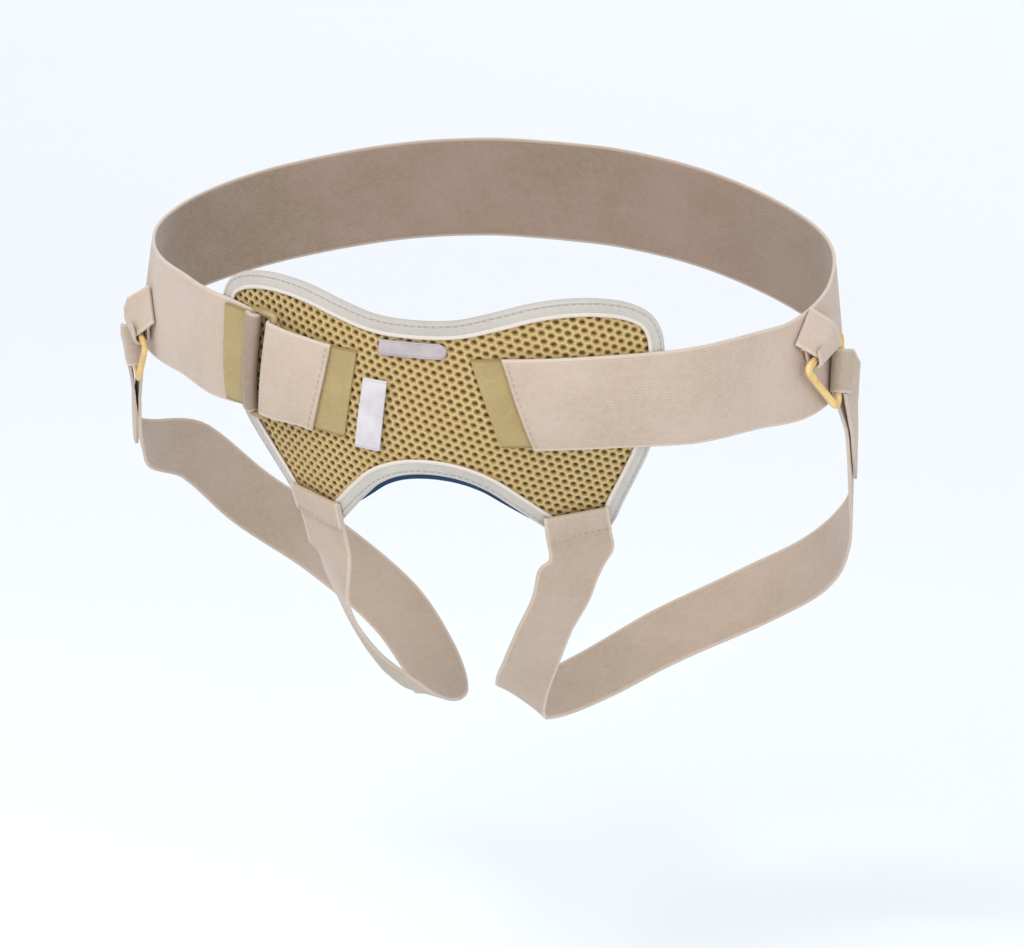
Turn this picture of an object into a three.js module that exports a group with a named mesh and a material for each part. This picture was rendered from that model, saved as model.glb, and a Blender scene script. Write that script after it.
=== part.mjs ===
// Hernia belt in its worn form: a spacer mesh panel over the groin, an elastic waist strap that is
// folded back through a rectangular ring, and two leg straps that run between the legs to rings on
// the hips. Millimetres, +Z up, the wearer faces -Y. The origin is the middle of the wearer's hips.
import * as THREE from 'three';
import { TessellateModifier } from 'three/addons/modifiers/TessellateModifier.js';
import { mergeVertices } from 'three/addons/utils/BufferGeometryUtils.js';

// Driving dimensions of the hips that the belt closes round
const hip = {
  halfWidth: 176,
  frontDepth: 135,
  backDepth: 108,
  frontSquareness: 1.85,
  backSquareness: 2.2,
  rowHeight: 100,
};
// Fold of the groin at each side, where the form draws back below the belly
const groin = { depth: 50, inner: 5, outer: 120, top: 15, low: -110, fade: 60 };
// Clearance between two layers that lie on each other, and from the skin to the first layer
const layerGap = 0.3;

// The panel sits a little to the wearer's left, and leans that way as it goes down
const panel = {
  halfWidth: 105,
  height: 120,
  thickness: 3.5,
  shift: 13.5,
  lean: 0.1,
  pull: 9,
  pullLow: -60,
  pullHigh: 30,
};
const lining = { thickness: 1.0, reveal: 4.6, inset: 3, aside: 7 };
const tape = { thickness: 0.8, width: 8 };
const strap = { width: 52, thickness: 1.6, rise: 60, endSlant: 0.3 };
const hookTape = { thickness: 1.2, visible: 14, tucked: 12, nearSlant: -0.13 };
const leftEnd = { along: 57 };
const rightEnd = { along: -33.5 };
const ring = { along: -66.5, spacing: 10, bar: 2.6, sideClearance: 0.6 };
const foldBack = { reach: 7, tabReach: 18, tuck: 4 };
const label = { width: 12, height: 34, thickness: 1.0, drop: -8, sewnAt: 5.2, rise: 1.2 };
// The tab's middle is a share of the panel's height, so that it keeps its place under the binding
const centreTab = { length: 30, height: 7.6, thickness: 0.9, shift: -1, centreShare: 0.22 };
const legStrap = {
  width: 32,
  thickness: 1.6,
  drop: 186,
  hem: 12,
  hemSlope: 0.2,
  hemLayers: 1.9,
  topHeight: -51,
  topAlong: 63,
  topWidth: 29,
};
const hipRing = {
  side: 43.5,
  bar: 3.8,
  thickness: 2.6,
  along: 219,
  height: 8,
  turn: 110,
  rightAlong: 186,
  rightDrop: 14,
  outerRound: 0.16,
  innerRound: 0.08,
};
const hanger = { width: 21, length: 16, returned: 8, lean: 10 };
const turnedEnd = { width: 21, tip: 5 };
// Turn from one side or corner of a triangle to the next, in degrees
const thirdTurn = 120;

const rad = THREE.MathUtils.degToRad;

// Hip form: each row gives its level and its width and depths, as shares of the hip sizes
const hipRows = [
  { level: 1.2, width: 0.9, front: 0.97, back: 0.88 },
  { level: 0.6, width: 0.955, front: 1.01, back: 0.95 },
  { level: 0.0, width: 1.0, front: 0.99, back: 1.0 },
  { level: -0.35, width: 1.02, front: 0.94, back: 1.02 },
  { level: -0.7, width: 1.03, front: 0.87, back: 1.03 },
  { level: -1.2, width: 1.03, front: 0.75, back: 1.0 },
];

// Smooth value of one column of a table whose first column rises or falls steadily
function smoothColumn(rows, along, column, at) {
  const falling = rows[0][along] > rows[rows.length - 1][along];
  const low = falling ? rows[rows.length - 1][along] : rows[0][along];
  const high = falling ? rows[0][along] : rows[rows.length - 1][along];
  const place = THREE.MathUtils.clamp(at, low, high);
  let i = 0;
  while (i < rows.length - 2 && (falling ? place < rows[i + 1][along] : place > rows[i + 1][along])) {
    i += 1;
  }
  const slope = (k) => {
    const before = rows[Math.max(0, k - 1)];
    const after = rows[Math.min(rows.length - 1, k + 1)];
    return (after[column] - before[column]) / (after[along] - before[along]);
  };
  const span = rows[i + 1][along] - rows[i][along];
  const t = (place - rows[i][along]) / span;
  const fromStart = (1 + 2 * t) * (1 - t) ** 2 * rows[i][column] + t * (1 - t) ** 2 * span * slope(i);
  const toEnd = t ** 2 * (3 - 2 * t) * rows[i + 1][column] - t ** 2 * (1 - t) * span * slope(i + 1);
  return fromStart + toEnd;
}

// Point of the skin at an angle from the front, positive to the wearer's left, and at a height
function skin(angle, z) {
  const level = z / hip.rowHeight;
  const inFront = Math.cos(angle) > 0;
  const halfWidth = hip.halfWidth * smoothColumn(hipRows, 'level', 'width', level);
  const depth = inFront
    ? hip.frontDepth * smoothColumn(hipRows, 'level', 'front', level)
    : hip.backDepth * smoothColumn(hipRows, 'level', 'back', level);
  const squareness = inFront ? hip.frontSquareness : hip.backSquareness;
  const across = Math.abs(Math.sin(angle) / halfWidth) ** squareness;
  const along = Math.abs(Math.cos(angle) / depth) ** squareness;
  const radius = (across + along) ** (-1 / squareness);
  const x = radius * Math.sin(angle);
  const y = -radius * Math.cos(angle);
  const sideways = THREE.MathUtils.smoothstep(Math.abs(x), groin.inner, groin.outer);
  const down = THREE.MathUtils.smoothstep(-z, -groin.top, -groin.low);
  const nearFront = THREE.MathUtils.clamp(-y / groin.fade, 0, 1);
  return new THREE.Vector3(x, y + groin.depth * sideways * down * nearFront, z);
}

function skinNormal(angle, z) {
  const smallTurn = 0.002;
  const smallRise = 0.5;
  const round = skin(angle + smallTurn, z).sub(skin(angle - smallTurn, z));
  const up = skin(angle, z + smallRise).sub(skin(angle, z - smallRise));
  return round.cross(up).normalize();
}

// Angle from the front at each length round the hips, measured at the origin's height
const girthSteps = 720;
const girthTable = [0];
for (let i = 1; i <= girthSteps; i += 1) {
  const here = skin((2 * Math.PI * i) / girthSteps, 0);
  const before = skin((2 * Math.PI * (i - 1)) / girthSteps, 0);
  girthTable.push(girthTable[i - 1] + here.distanceTo(before));
}
const girth = girthTable[girthSteps];

function angleAt(along) {
  const turns = Math.floor(along / girth);
  const rest = along - turns * girth;
  let i = Math.floor((rest / girth) * girthSteps);
  while (i > 0 && girthTable[i] > rest) {
    i -= 1;
  }
  while (i < girthSteps - 1 && girthTable[i + 1] < rest) {
    i += 1;
  }
  const share = (rest - girthTable[i]) / (girthTable[i + 1] - girthTable[i]);
  return 2 * Math.PI * (turns + (i + share) / girthSteps);
}

// Flat pattern to body: length round the hips, level, and distance off the skin
function onBody(along, level, offset) {
  const angle = angleAt(along);
  return skin(angle, level).addScaledVector(skinNormal(angle, level), offset);
}

// Level reached from another one by a length measured up along the skin
function climb(angle, level, rise) {
  const steps = 6;
  let z = level;
  for (let i = 0; i < steps; i += 1) {
    const above = skin(angle, z + 1);
    const below = skin(angle, z - 1);
    z += ((rise / steps) * (above.z - below.z)) / above.distanceTo(below);
  }
  return z;
}

// Layers of the belt, from the skin outwards
const liningBase = layerGap;
const backTapeBase = liningBase + lining.thickness + layerGap;
const panelBase = backTapeBase + tape.thickness + layerGap;
const frontTapeBase = panelBase + panel.thickness + layerGap;
const hookBase = frontTapeBase;
const strapBase = frontTapeBase + tape.thickness + layerGap;
const strapOnHook = Math.max(strapBase, hookBase + hookTape.thickness + layerGap);

// Closed solid through loops of points; each loop pairs its first half with its second half
function loftLoops(loops, closed = false) {
  const size = loops[0].length;
  const positions = loops.flat().flatMap((p) => [p.x, p.y, p.z]);
  const index = [];
  const quad = (a, b, c, d) => index.push(a, b, c, a, c, d);
  const count = closed ? loops.length : loops.length - 1;
  for (let i = 0; i < count; i += 1) {
    const here = i * size;
    const next = ((i + 1) % loops.length) * size;
    for (let j = 0; j < size; j += 1) {
      const k = (j + 1) % size;
      quad(here + j, here + k, next + k, next + j);
    }
  }
  if (!closed) {
    const last = (loops.length - 1) * size;
    for (let j = 0; j < size / 2 - 1; j += 1) {
      const k = size - 1 - j;
      quad(k, k - 1, j + 1, j);
      quad(last + j, last + j + 1, last + k - 1, last + k);
    }
  }
  const geometry = new THREE.BufferGeometry();
  geometry.setAttribute('position', new THREE.Float32BufferAttribute(positions, 3));
  geometry.setIndex(index);
  return facingOut(geometry);
}

// Turns every face when the solid's signed volume says that they point in
function facingOut(geometry) {
  const position = geometry.attributes.position;
  const index = geometry.index;
  const corner = (i) => new THREE.Vector3().fromBufferAttribute(position, index.getX(i));
  let volume = 0;
  for (let i = 0; i < index.count; i += 3) {
    volume += corner(i).dot(corner(i + 1).cross(corner(i + 2)));
  }
  if (volume < 0) {
    for (let i = 0; i < index.count; i += 3) {
      const first = index.getX(i);
      index.setX(i, index.getX(i + 2));
      index.setX(i + 2, first);
    }
  }
  geometry.computeVertexNormals();
  return geometry;
}

const object = new THREE.Group();

function addPiece(name, geometry, material) {
  const mesh = new THREE.Mesh(geometry, material);
  mesh.name = name;
  object.add(mesh);
}

const elastic = new THREE.MeshStandardMaterial({ color: '#d6c4b4', roughness: 0.9, metalness: 0 });
const hookCloth = new THREE.MeshStandardMaterial({ color: '#bba27a', roughness: 0.95, metalness: 0 });
const meshCloth = new THREE.MeshStandardMaterial({ color: '#c4a566', roughness: 0.85, metalness: 0 });
const whiteTape = new THREE.MeshStandardMaterial({ color: '#d2cdc6', roughness: 0.75, metalness: 0 });
const blueCloth = new THREE.MeshStandardMaterial({ color: '#234a74', roughness: 0.8, metalness: 0 });
const satin = new THREE.MeshStandardMaterial({ color: '#ebe6e6', roughness: 0.45, metalness: 0 });
const khakiPlastic = new THREE.MeshStandardMaterial({ color: '#b59e76', roughness: 0.45, metalness: 0 });
const goldPlastic = new THREE.MeshStandardMaterial({ color: '#d0a353', roughness: 0.4, metalness: 0 });

// Panel outline from the middle of its top edge to the middle of its arch, as shares of its sizes
const panelRows = [
  { across: 0, up: 0.33 },
  { across: 0.17, up: 0.34 },
  { across: 0.325, up: 0.378 },
  { across: 0.45, up: 0.413 },
  { across: 0.57, up: 0.434 },
  { across: 0.72, up: 0.44 },
  { across: 0.86, up: 0.42 },
  { across: 0.95, up: 0.376 },
  { across: 0.992, up: 0.31 },
  { across: 1, up: 0.22 },
  { across: 0.975, up: 0 },
  { across: 0.94, up: -0.15 },
  { across: 0.885, up: -0.27 },
  { across: 0.82, up: -0.39 },
  { across: 0.765, up: -0.49 },
  { across: 0.685, up: -0.575 },
  { across: 0.57, up: -0.575 },
  { across: 0.465, up: -0.507 },
  { across: 0.325, up: -0.4 },
  { across: 0.235, up: -0.338 },
  { across: 0.13, up: -0.298 },
  { across: 0, up: -0.283 },
];

// Sideways place of a panel point as worn: the panel's own place, moved by its shift and lean. The
// stretched strap pulls the upper lobe on the wearer's left further round.
function panelAlong(across, level) {
  const towardsEdge = THREE.MathUtils.smoothstep(across, 0, panel.halfWidth);
  const towardsTop = THREE.MathUtils.smoothstep(level, panel.pullLow, panel.pullHigh);
  return across + panel.shift - panel.lean * level + panel.pull * towardsEdge * towardsTop;
}

// Closed smooth outline of the panel in its flat pattern, moved inwards by an amount at each point
function panelOutline(inward, count) {
  const half = panelRows.map((row) => new THREE.Vector3(
    row.across * panel.halfWidth,
    row.up * panel.height,
    0,
  ));
  const mirrored = half.slice(1, -1).reverse().map((p) => new THREE.Vector3(-p.x, p.y, 0));
  const curve = new THREE.CatmullRomCurve3([...half, ...mirrored], true, 'centripetal');
  const points = [];
  for (let i = 0; i < count; i += 1) {
    const at = curve.getPointAt(i / count);
    const tangent = curve.getTangentAt(i / count);
    const inside = new THREE.Vector3(tangent.y, -tangent.x, 0);
    points.push({ at, inside, moved: at.clone().addScaledVector(inside, inward(at)) });
  }
  return points;
}

// A cloth layer cut to an outline, with its flat pattern wrapped on the hips
function wrappedLayer(outline, base, thickness, longestEdge) {
  const shape = new THREE.Shape(outline.map((p) => new THREE.Vector2(p.x, p.y)));
  let geometry = new THREE.ExtrudeGeometry(shape, { depth: thickness, bevelEnabled: false });
  const splitRounds = 8;
  geometry = new TessellateModifier(longestEdge, splitRounds).modify(geometry);
  geometry.deleteAttribute('normal');
  geometry.deleteAttribute('uv');
  geometry = mergeVertices(geometry, 0.001);
  const position = geometry.attributes.position;
  for (let i = 0; i < position.count; i += 1) {
    const level = position.getY(i);
    const p = onBody(panelAlong(position.getX(i), level), level, base + position.getZ(i));
    position.setXYZ(i, p.x, p.y, p.z);
  }
  return facingOut(geometry);
}

function makePanel() {
  const outlineCount = 96;
  const longestEdge = 14;
  const inward = tape.thickness + 4 * layerGap;
  const outline = panelOutline(() => inward, outlineCount).map((p) => p.moved);
  addPiece('front_panel', wrappedLayer(outline, panelBase, panel.thickness, longestEdge), meshCloth);
}

// The lining lies behind the panel, and reaches below the tape along the arch
function makeLining() {
  const outlineCount = 80;
  const longestEdge = 18;
  const archHalfWidth = 0.5 * panel.halfWidth;
  const inward = (p) => {
    const fromMiddle = (p.x - lining.aside) / archHalfWidth;
    const underArch = p.y < 0 && Math.abs(fromMiddle) < 1;
    const share = underArch ? Math.cos(fromMiddle * (Math.PI / 2)) : 0;
    return lining.inset - (lining.inset + lining.reveal) * share ** 0.5;
  };
  const outline = panelOutline(inward, outlineCount).map((p) => p.moved);
  addPiece('back_lining', wrappedLayer(outline, liningBase, lining.thickness, longestEdge), blueCloth);
}

// Tape folded over the edge of the panel: a U section carried round the outline
function makeBinding() {
  const outlineCount = 120;
  const inside = tape.thickness;
  const top = frontTapeBase + tape.thickness;
  const section = [
    { inward: tape.width, offset: backTapeBase },
    { inward: 0, offset: backTapeBase },
    { inward: 0, offset: top },
    { inward: tape.width, offset: top },
    { inward: tape.width, offset: frontTapeBase },
    { inward: inside, offset: frontTapeBase },
    { inward: inside, offset: backTapeBase + tape.thickness },
    { inward: tape.width, offset: backTapeBase + tape.thickness },
  ];
  const loops = panelOutline(() => 0, outlineCount).map((p) => section.map((corner) => {
    const flat = p.at.clone().addScaledVector(p.inside, corner.inward);
    return onBody(panelAlong(flat.x, flat.y), flat.y, corner.offset);
  }));
  addPiece('panel_binding', loftLoops(loops, true), whiteTape);
}

// Middle height and width of the waist strap round the hips, from the middle of the back over the
// wearer's right, the front and the left: shares of half the girth, of its rise and of its width
const strapRows = [
  { round: -1, rise: 0.985, width: 1 },
  { round: -0.92, rise: 0.972, width: 1 },
  { round: -0.82, rise: 0.89, width: 1 },
  { round: -0.7, rise: 0.71, width: 1 },
  { round: -0.58, rise: 0.5, width: 1 },
  { round: -0.51, rise: 0.395, width: 1 },
  { round: -0.4, rise: 0.28, width: 1 },
  { round: -0.32, rise: 0.245, width: 0.99 },
  { round: -0.235, rise: 0.23, width: 0.97 },
  { round: -0.187, rise: 0.213, width: 0.945 },
  { round: -0.152, rise: 0.187, width: 0.885 },
  { round: -0.13, rise: 0.16, width: 0.84 },
  { round: -0.07, rise: 0.055, width: 0.84 },
  { round: 0, rise: 0.03, width: 0.84 },
  { round: 0.12, rise: 0.058, width: 0.83 },
  { round: 0.2, rise: 0.085, width: 0.835 },
  { round: 0.28, rise: 0.105, width: 0.86 },
  { round: 0.34, rise: 0.122, width: 0.9 },
  { round: 0.39, rise: 0.142, width: 0.925 },
  { round: 0.435, rise: 0.175, width: 0.94 },
  { round: 0.51, rise: 0.325, width: 0.97 },
  { round: 0.58, rise: 0.5, width: 1 },
  { round: 0.7, rise: 0.71, width: 1 },
  { round: 0.82, rise: 0.89, width: 1 },
  { round: 0.92, rise: 0.972, width: 1 },
  { round: 1, rise: 0.985, width: 1 },
];

// Share of half the girth from the middle of the front, from -1 to 1
function roundShare(along) {
  const halves = along / (girth / 2);
  return halves - 2 * Math.round(halves / 2);
}

function strapHeight(along) {
  return strap.rise * smoothColumn(strapRows, 'round', 'rise', roundShare(along));
}

// Belt coordinates: length along the strap's middle line, distance across it, and off the skin
function onBelt(along, across, offset) {
  const smallStep = 4;
  const here = new THREE.Vector2(along, strapHeight(along));
  const ahead = new THREE.Vector2(along + smallStep, strapHeight(along + smallStep));
  const behind = new THREE.Vector2(along - smallStep, strapHeight(along - smallStep));
  const direction = ahead.sub(behind).normalize();
  const shifted = here.x - direction.y * across;
  const angle = angleAt(shifted);
  const level = climb(angle, here.y, direction.x * across);
  return skin(angle, level).addScaledVector(skinNormal(angle, level), offset);
}

// Cross-section loop of a strap in belt coordinates. Its end may be slanted, and past a turn round
// a bar its outer face looks at the skin.
function beltLoop({ along, base, thickness, width, slant = 0, turned = false }) {
  const divisions = 4;
  const face = [];
  const reverse = [];
  for (let i = 0; i <= divisions; i += 1) {
    const across = (i / divisions - 0.5) * width;
    const shifted = along - slant * across;
    face.push(onBelt(shifted, across, turned ? base : base + thickness));
    reverse.push(onBelt(shifted, across, turned ? base + thickness : base));
  }
  return [...face, ...reverse.reverse()];
}

// The strap is stretched over the front, where it narrows a little
function strapWidth(along) {
  return strap.width * smoothColumn(strapRows, 'round', 'width', roundShare(along));
}

// Layer that a strap lies on, from the panel's front down to the skin past the panel's edge
const edgeMargin = 4;
const edgeDrop = 50;
function strapSeat(along) {
  const edge = panel.halfWidth + edgeMargin + (along > panel.shift ? panel.pull : 0);
  const fromCentre = Math.abs(along - panel.shift);
  const past = THREE.MathUtils.smoothstep(fromCentre, edge, edge + edgeDrop);
  return THREE.MathUtils.lerp(strapBase, layerGap, past);
}

// Ring bars, and the layers of the straps that pass under and over them
const ringCentre = strapBase + strap.thickness + layerGap + ring.bar / 2;
const overBar = ringCentre + ring.bar / 2 + layerGap;
// Layer of the hook tape that fastens the folded end on the strap's own outer face
const hookOverStrap = strapBase + strap.thickness + layerGap;
const rearBar = ring.along - ring.spacing / 2;
const frontBar = ring.along + ring.spacing / 2;

// Half turn of a strap round a bar, from the layer under the bar to the layer over it
function turnRoundBar(barAlong, facing, width) {
  const steps = 6;
  const radius = ring.bar / 2 + layerGap;
  const loops = [];
  for (let i = 0; i <= steps; i += 1) {
    const angle = Math.PI * (i / steps) - Math.PI / 2;
    const outer = [];
    const inner = [];
    const divisions = 4;
    for (let j = 0; j <= divisions; j += 1) {
      const across = (j / divisions - 0.5) * width;
      const near = (r) => onBelt(
        barAlong + facing * r * Math.cos(angle),
        across,
        ringCentre + r * Math.sin(angle),
      );
      outer.push(near(radius));
      inner.push(near(radius + strap.thickness));
    }
    loops.push([...outer, ...inner.reverse()]);
  }
  return loops;
}

// Places along a strap: close together over the panel and its edge, wider round the hips
function strapStations(from, to) {
  const fine = 4;
  const coarse = 14;
  const nearEdge = panel.shift + panel.halfWidth + panel.pull + edgeMargin + edgeDrop;
  const places = [];
  let along = from;
  while (along < to - fine / 2) {
    places.push(along);
    const fromFront = Math.min(along, girth - along);
    const step = fromFront < nearEdge + coarse ? fine : coarse;
    along += step;
  }
  return places;
}

function makeWaistStrap() {
  const { thickness } = strap;
  const slantFade = 60;
  const hookEnd = leftEnd.along + hookTape.tucked + strap.endSlant * strap.width;
  const loops = strapStations(leftEnd.along, girth + rearBar).map((along) => {
    const signed = along > girth / 2 ? along - girth : along;
    const slantLeft = 1 - THREE.MathUtils.smoothstep(along - leftEnd.along, 0, slantFade);
    const overHook = 1 - THREE.MathUtils.smoothstep(along, hookEnd, hookEnd + strap.width / 3);
    const seat = strapSeat(signed);
    const base = seat + (strapOnHook - strapBase) * overHook;
    return beltLoop({
      along: signed,
      base,
      thickness,
      width: strapWidth(signed),
      slant: strap.endSlant * slantLeft,
    });
  });
  const width = strapWidth(rearBar);
  const overEnd = hookOverStrap + hookTape.thickness + layerGap;
  loops.push(...turnRoundBar(rearBar, 1, width));
  for (const share of [0.5, 1]) {
    const base = THREE.MathUtils.lerp(overBar, overEnd, share);
    const along = rearBar - foldBack.reach * share;
    loops.push(beltLoop({ along, base, thickness, width, turned: true }));
  }
  addPiece('waist_strap', loftLoops(loops), elastic);
}

function makeFoldHookTab() {
  const width = strapWidth(rearBar) - 1;
  const from = rearBar - foldBack.tuck;
  const to = rearBar - foldBack.tabReach;
  const loops = [from, (from + to) / 2, to].map((along) => beltLoop({
    along,
    base: hookOverStrap,
    thickness: hookTape.thickness,
    width,
  }));
  addPiece('fold_hook_tab', loftLoops(loops), hookCloth);
}

// Rectangular ring: a bar of eight sides carried round a rectangle in belt coordinates
function makeStrapRing() {
  const halfAlong = ring.spacing / 2;
  const halfAcross = strapWidth(rearBar) / 2 + ring.sideClearance + ring.bar / 2;
  const cornerRadius = 1.6;
  const shape = new THREE.Shape();
  shape.moveTo(-halfAlong, -halfAcross + cornerRadius);
  shape.lineTo(-halfAlong, halfAcross - cornerRadius);
  shape.quadraticCurveTo(-halfAlong, halfAcross, -halfAlong + cornerRadius, halfAcross);
  shape.lineTo(halfAlong - cornerRadius, halfAcross);
  shape.quadraticCurveTo(halfAlong, halfAcross, halfAlong, halfAcross - cornerRadius);
  shape.lineTo(halfAlong, -halfAcross + cornerRadius);
  shape.quadraticCurveTo(halfAlong, -halfAcross, halfAlong - cornerRadius, -halfAcross);
  shape.lineTo(-halfAlong + cornerRadius, -halfAcross);
  shape.quadraticCurveTo(-halfAlong, -halfAcross, -halfAlong, -halfAcross + cornerRadius);
  const count = 44;
  const sides = 8;
  const loops = [];
  for (let i = 0; i < count; i += 1) {
    const at = shape.getPointAt(i / count);
    const tangent = shape.getTangentAt(i / count);
    const loop = [];
    for (let j = 0; j < sides; j += 1) {
      const angle = (2 * Math.PI * (j + 0.5)) / sides;
      const out = (ring.bar / 2) * Math.cos(angle);
      loop.push(onBelt(
        ring.along + at.x + tangent.y * out,
        at.y - tangent.x * out,
        ringCentre + (ring.bar / 2) * Math.sin(angle),
      ));
    }
    loops.push(loop);
  }
  addPiece('strap_ring', loftLoops(loops, true), khakiPlastic);
}

// Face of the short strap, from the ring's front bar down to its hook tape
const frontFaceRows = [
  { share: 0.12, lift: 1 },
  { share: 0.3, lift: 0.86 },
  { share: 0.5, lift: 0.45 },
  { share: 0.7, lift: 0.1 },
  { share: 0.85, lift: 0 },
  { share: 1, lift: 0 },
];

// Short strap between the ring and the panel: a sewn return under the bar, a turn, and the face
function makeFrontStrap() {
  const { thickness } = strap;
  const width = strapWidth(frontBar);
  const sewnReturn = 9;
  const narrower = 5;
  const under = [1, 0.5].map((share) => beltLoop({
    along: frontBar + sewnReturn * share,
    base: strapBase,
    thickness,
    width: width - narrower,
  }));
  const face = frontFaceRows.map((row) => beltLoop({
    along: THREE.MathUtils.lerp(frontBar, rightEnd.along, row.share),
    base: THREE.MathUtils.lerp(strapOnHook, overBar, row.lift),
    thickness,
    width,
    slant: hookTape.nearSlant * THREE.MathUtils.smoothstep(row.share, 0.3, 1),
    turned: true,
  }));
  const loops = [...under, ...turnRoundBar(frontBar, -1, width), ...face];
  addPiece('front_strap_right', loftLoops(loops), elastic);
}

// Hook tapes under the two ends of the waist straps, each showing past its end
function makeHookTab(name, end, side, slant) {
  const width = strapWidth(end) - 1;
  const from = end + side * hookTape.tucked;
  const to = end - side * hookTape.visible;
  const loops = [from, end, to].map((along) => beltLoop({
    along,
    base: hookBase,
    thickness: hookTape.thickness,
    width,
    slant,
  }));
  addPiece(name, loftLoops(loops), hookCloth);
}

function makePullLabel() {
  const start = rightEnd.along + hookTape.visible + label.sewnAt;
  const divisions = 6;
  const steps = 3;
  const loops = [];
  for (let k = 0; k <= steps; k += 1) {
    const share = k / steps;
    const outer = [];
    const inner = [];
    const lift = label.rise * Math.sin((Math.PI / 2) * share);
    for (let i = 0; i <= divisions; i += 1) {
      const across = label.drop + (i / divisions - 0.5) * label.height;
      const along = start + label.width * share - hookTape.nearSlant * across;
      outer.push(onBelt(along, across, hookBase + lift + label.thickness));
      inner.push(onBelt(along, across, hookBase + lift));
    }
    loops.push([...outer, ...inner.reverse()]);
  }
  addPiece('pull_label', loftLoops(loops), satin);
}

// Small folded tab under the top tape, with a rounded free end
function makeCentreLabel() {
  const stations = 12;
  const roundedShare = 0.12;
  const roundedReach = 0.9;
  const centreHeight = centreTab.centreShare * panel.height;
  const loops = [];
  for (let i = 0; i <= stations; i += 1) {
    const share = i / stations;
    const x = centreTab.shift + (share - 0.5) * centreTab.length;
    const intoRound = Math.max(0, (share - 1 + roundedShare) / roundedShare);
    const half = (centreTab.height / 2) * Math.sqrt(1 - (intoRound * roundedReach) ** 2);
    const lower = centreHeight - half;
    const upper = centreHeight + half;
    const along = panelAlong(x, centreHeight);
    const outer = [lower, upper].map((h) => onBody(along, h, hookBase + centreTab.thickness));
    const inner = [upper, lower].map((h) => onBody(along, h, hookBase));
    loops.push([...outer, ...inner]);
  }
  addPiece('centre_label', loftLoops(loops), satin);
}

// Route of a leg strap's middle line after the panel: sides are shares of the hips' half width,
// depths of the front depth and drops of the crotch's drop. A share of the panel's own shift is
// added to the side, and the face columns give the way that the strap's face looks. The strap on
// the wearer's left lies closer in and is turned by its own shares: inwards and twist.
const legRows = [
  {
    side: 0.325, shifted: 1, depth: -0.72, drop: 0.46,
    faceX: 0.72, faceY: -0.6, faceZ: -0.3, twist: -0.2, inwards: 0.018, width: 1,
  },
  {
    side: 0.312, shifted: 0.85, depth: -0.65, drop: 0.56,
    faceX: 0.76, faceY: -0.58, faceZ: -0.3, twist: -0.2, inwards: 0.03, width: 1,
  },
  {
    side: 0.28, shifted: 0.6, depth: -0.53, drop: 0.67,
    faceX: 0.72, faceY: -0.6, faceZ: -0.34, twist: -0.17, inwards: 0.038, width: 0.96,
  },
  {
    side: 0.237, shifted: 0.35, depth: -0.37, drop: 0.79,
    faceX: 0.58, faceY: -0.6, faceZ: -0.52, twist: -0.2, inwards: 0.036, width: 0.9,
  },
  {
    side: 0.185, shifted: 0.3, depth: -0.25, drop: 0.883,
    faceX: 0.3, faceY: -0.5, faceZ: -0.8, twist: -0.3, inwards: 0.03, width: 0.84,
  },
  {
    side: 0.15, shifted: 0.3, depth: -0.13, drop: 0.945,
    faceX: 0.15, faceY: -0.3, faceZ: -0.94, twist: -0.6, inwards: 0.022, width: 0.8,
  },
  {
    side: 0.137, shifted: 0.3, depth: 0, drop: 0.975,
    faceX: 0, faceY: 0.1, faceZ: -1, twist: -0.8, inwards: 0.016, width: 0.8,
  },
  {
    side: 0.165, shifted: 0.3, depth: 0.12, drop: 0.98,
    faceX: -0.05, faceY: 0.2, faceZ: -0.98, twist: -0.6, inwards: 0.008, width: 0.86,
  },
  {
    side: 0.255, shifted: 0.2, depth: 0.33, drop: 0.95,
    faceX: -0.1, faceY: 0.45, faceZ: -0.88, twist: -0.3, inwards: 0, width: 0.94,
  },
  {
    side: 0.426, shifted: 0, depth: 0.58, drop: 0.87,
    faceX: -0.05, faceY: 0.8, faceZ: -0.6, twist: 0, inwards: 0, width: 1,
  },
  {
    side: 0.665, shifted: 0, depth: 0.66, drop: 0.745,
    faceX: 0.3, faceY: 0.92, faceZ: -0.25, twist: 0, inwards: 0, width: 1,
  },
  {
    side: 0.869, shifted: 0, depth: 0.56, drop: 0.61,
    faceX: 0.7, faceY: 0.7, faceZ: -0.1, twist: 0, inwards: 0, width: 1,
  },
  {
    side: 0.99, shifted: 0, depth: 0.37, drop: 0.457,
    faceX: 0.95, faceY: 0.3, faceZ: -0.02, twist: 0, inwards: 0, width: 1,
  },
];

// Flat patch on the side of the hips, where a triangular ring lies; built for the wearer's left
// and mirrored for the right, where the ring hangs a little lower and further forward
function sidePatch(side) {
  const along = side < 0 ? hipRing.rightAlong : hipRing.along;
  const level = hipRing.height - (side < 0 ? hipRing.rightDrop : 0);
  const origin = onBody(along, level, 0);
  const out = onBody(along, level, 1).sub(origin);
  const up = new THREE.Vector3(0, 0, 1).addScaledVector(out, -out.z).normalize();
  const back = up.clone().cross(out);
  return { origin, out, up, back, along, level };
}

function onPatch(patch, across, rise, offset) {
  return patch.origin.clone()
    .addScaledVector(patch.back, across)
    .addScaledVector(patch.up, rise)
    .addScaledVector(patch.out, offset);
}

// Middle layer of a leg strap on the panel, and its distance from a ring bar that it turns round
const legSeat = strapBase + legStrap.thickness / 2;
const turnRadius = Math.hypot(hipRing.bar, hipRing.thickness) / 2 + layerGap + legStrap.thickness / 2;
// Middle of a triangular ring: over the waist strap, with one layer of strap under its bar
const hipRingOffset = layerGap + strap.thickness + 2 * layerGap + legStrap.thickness / 2 + turnRadius;

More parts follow.
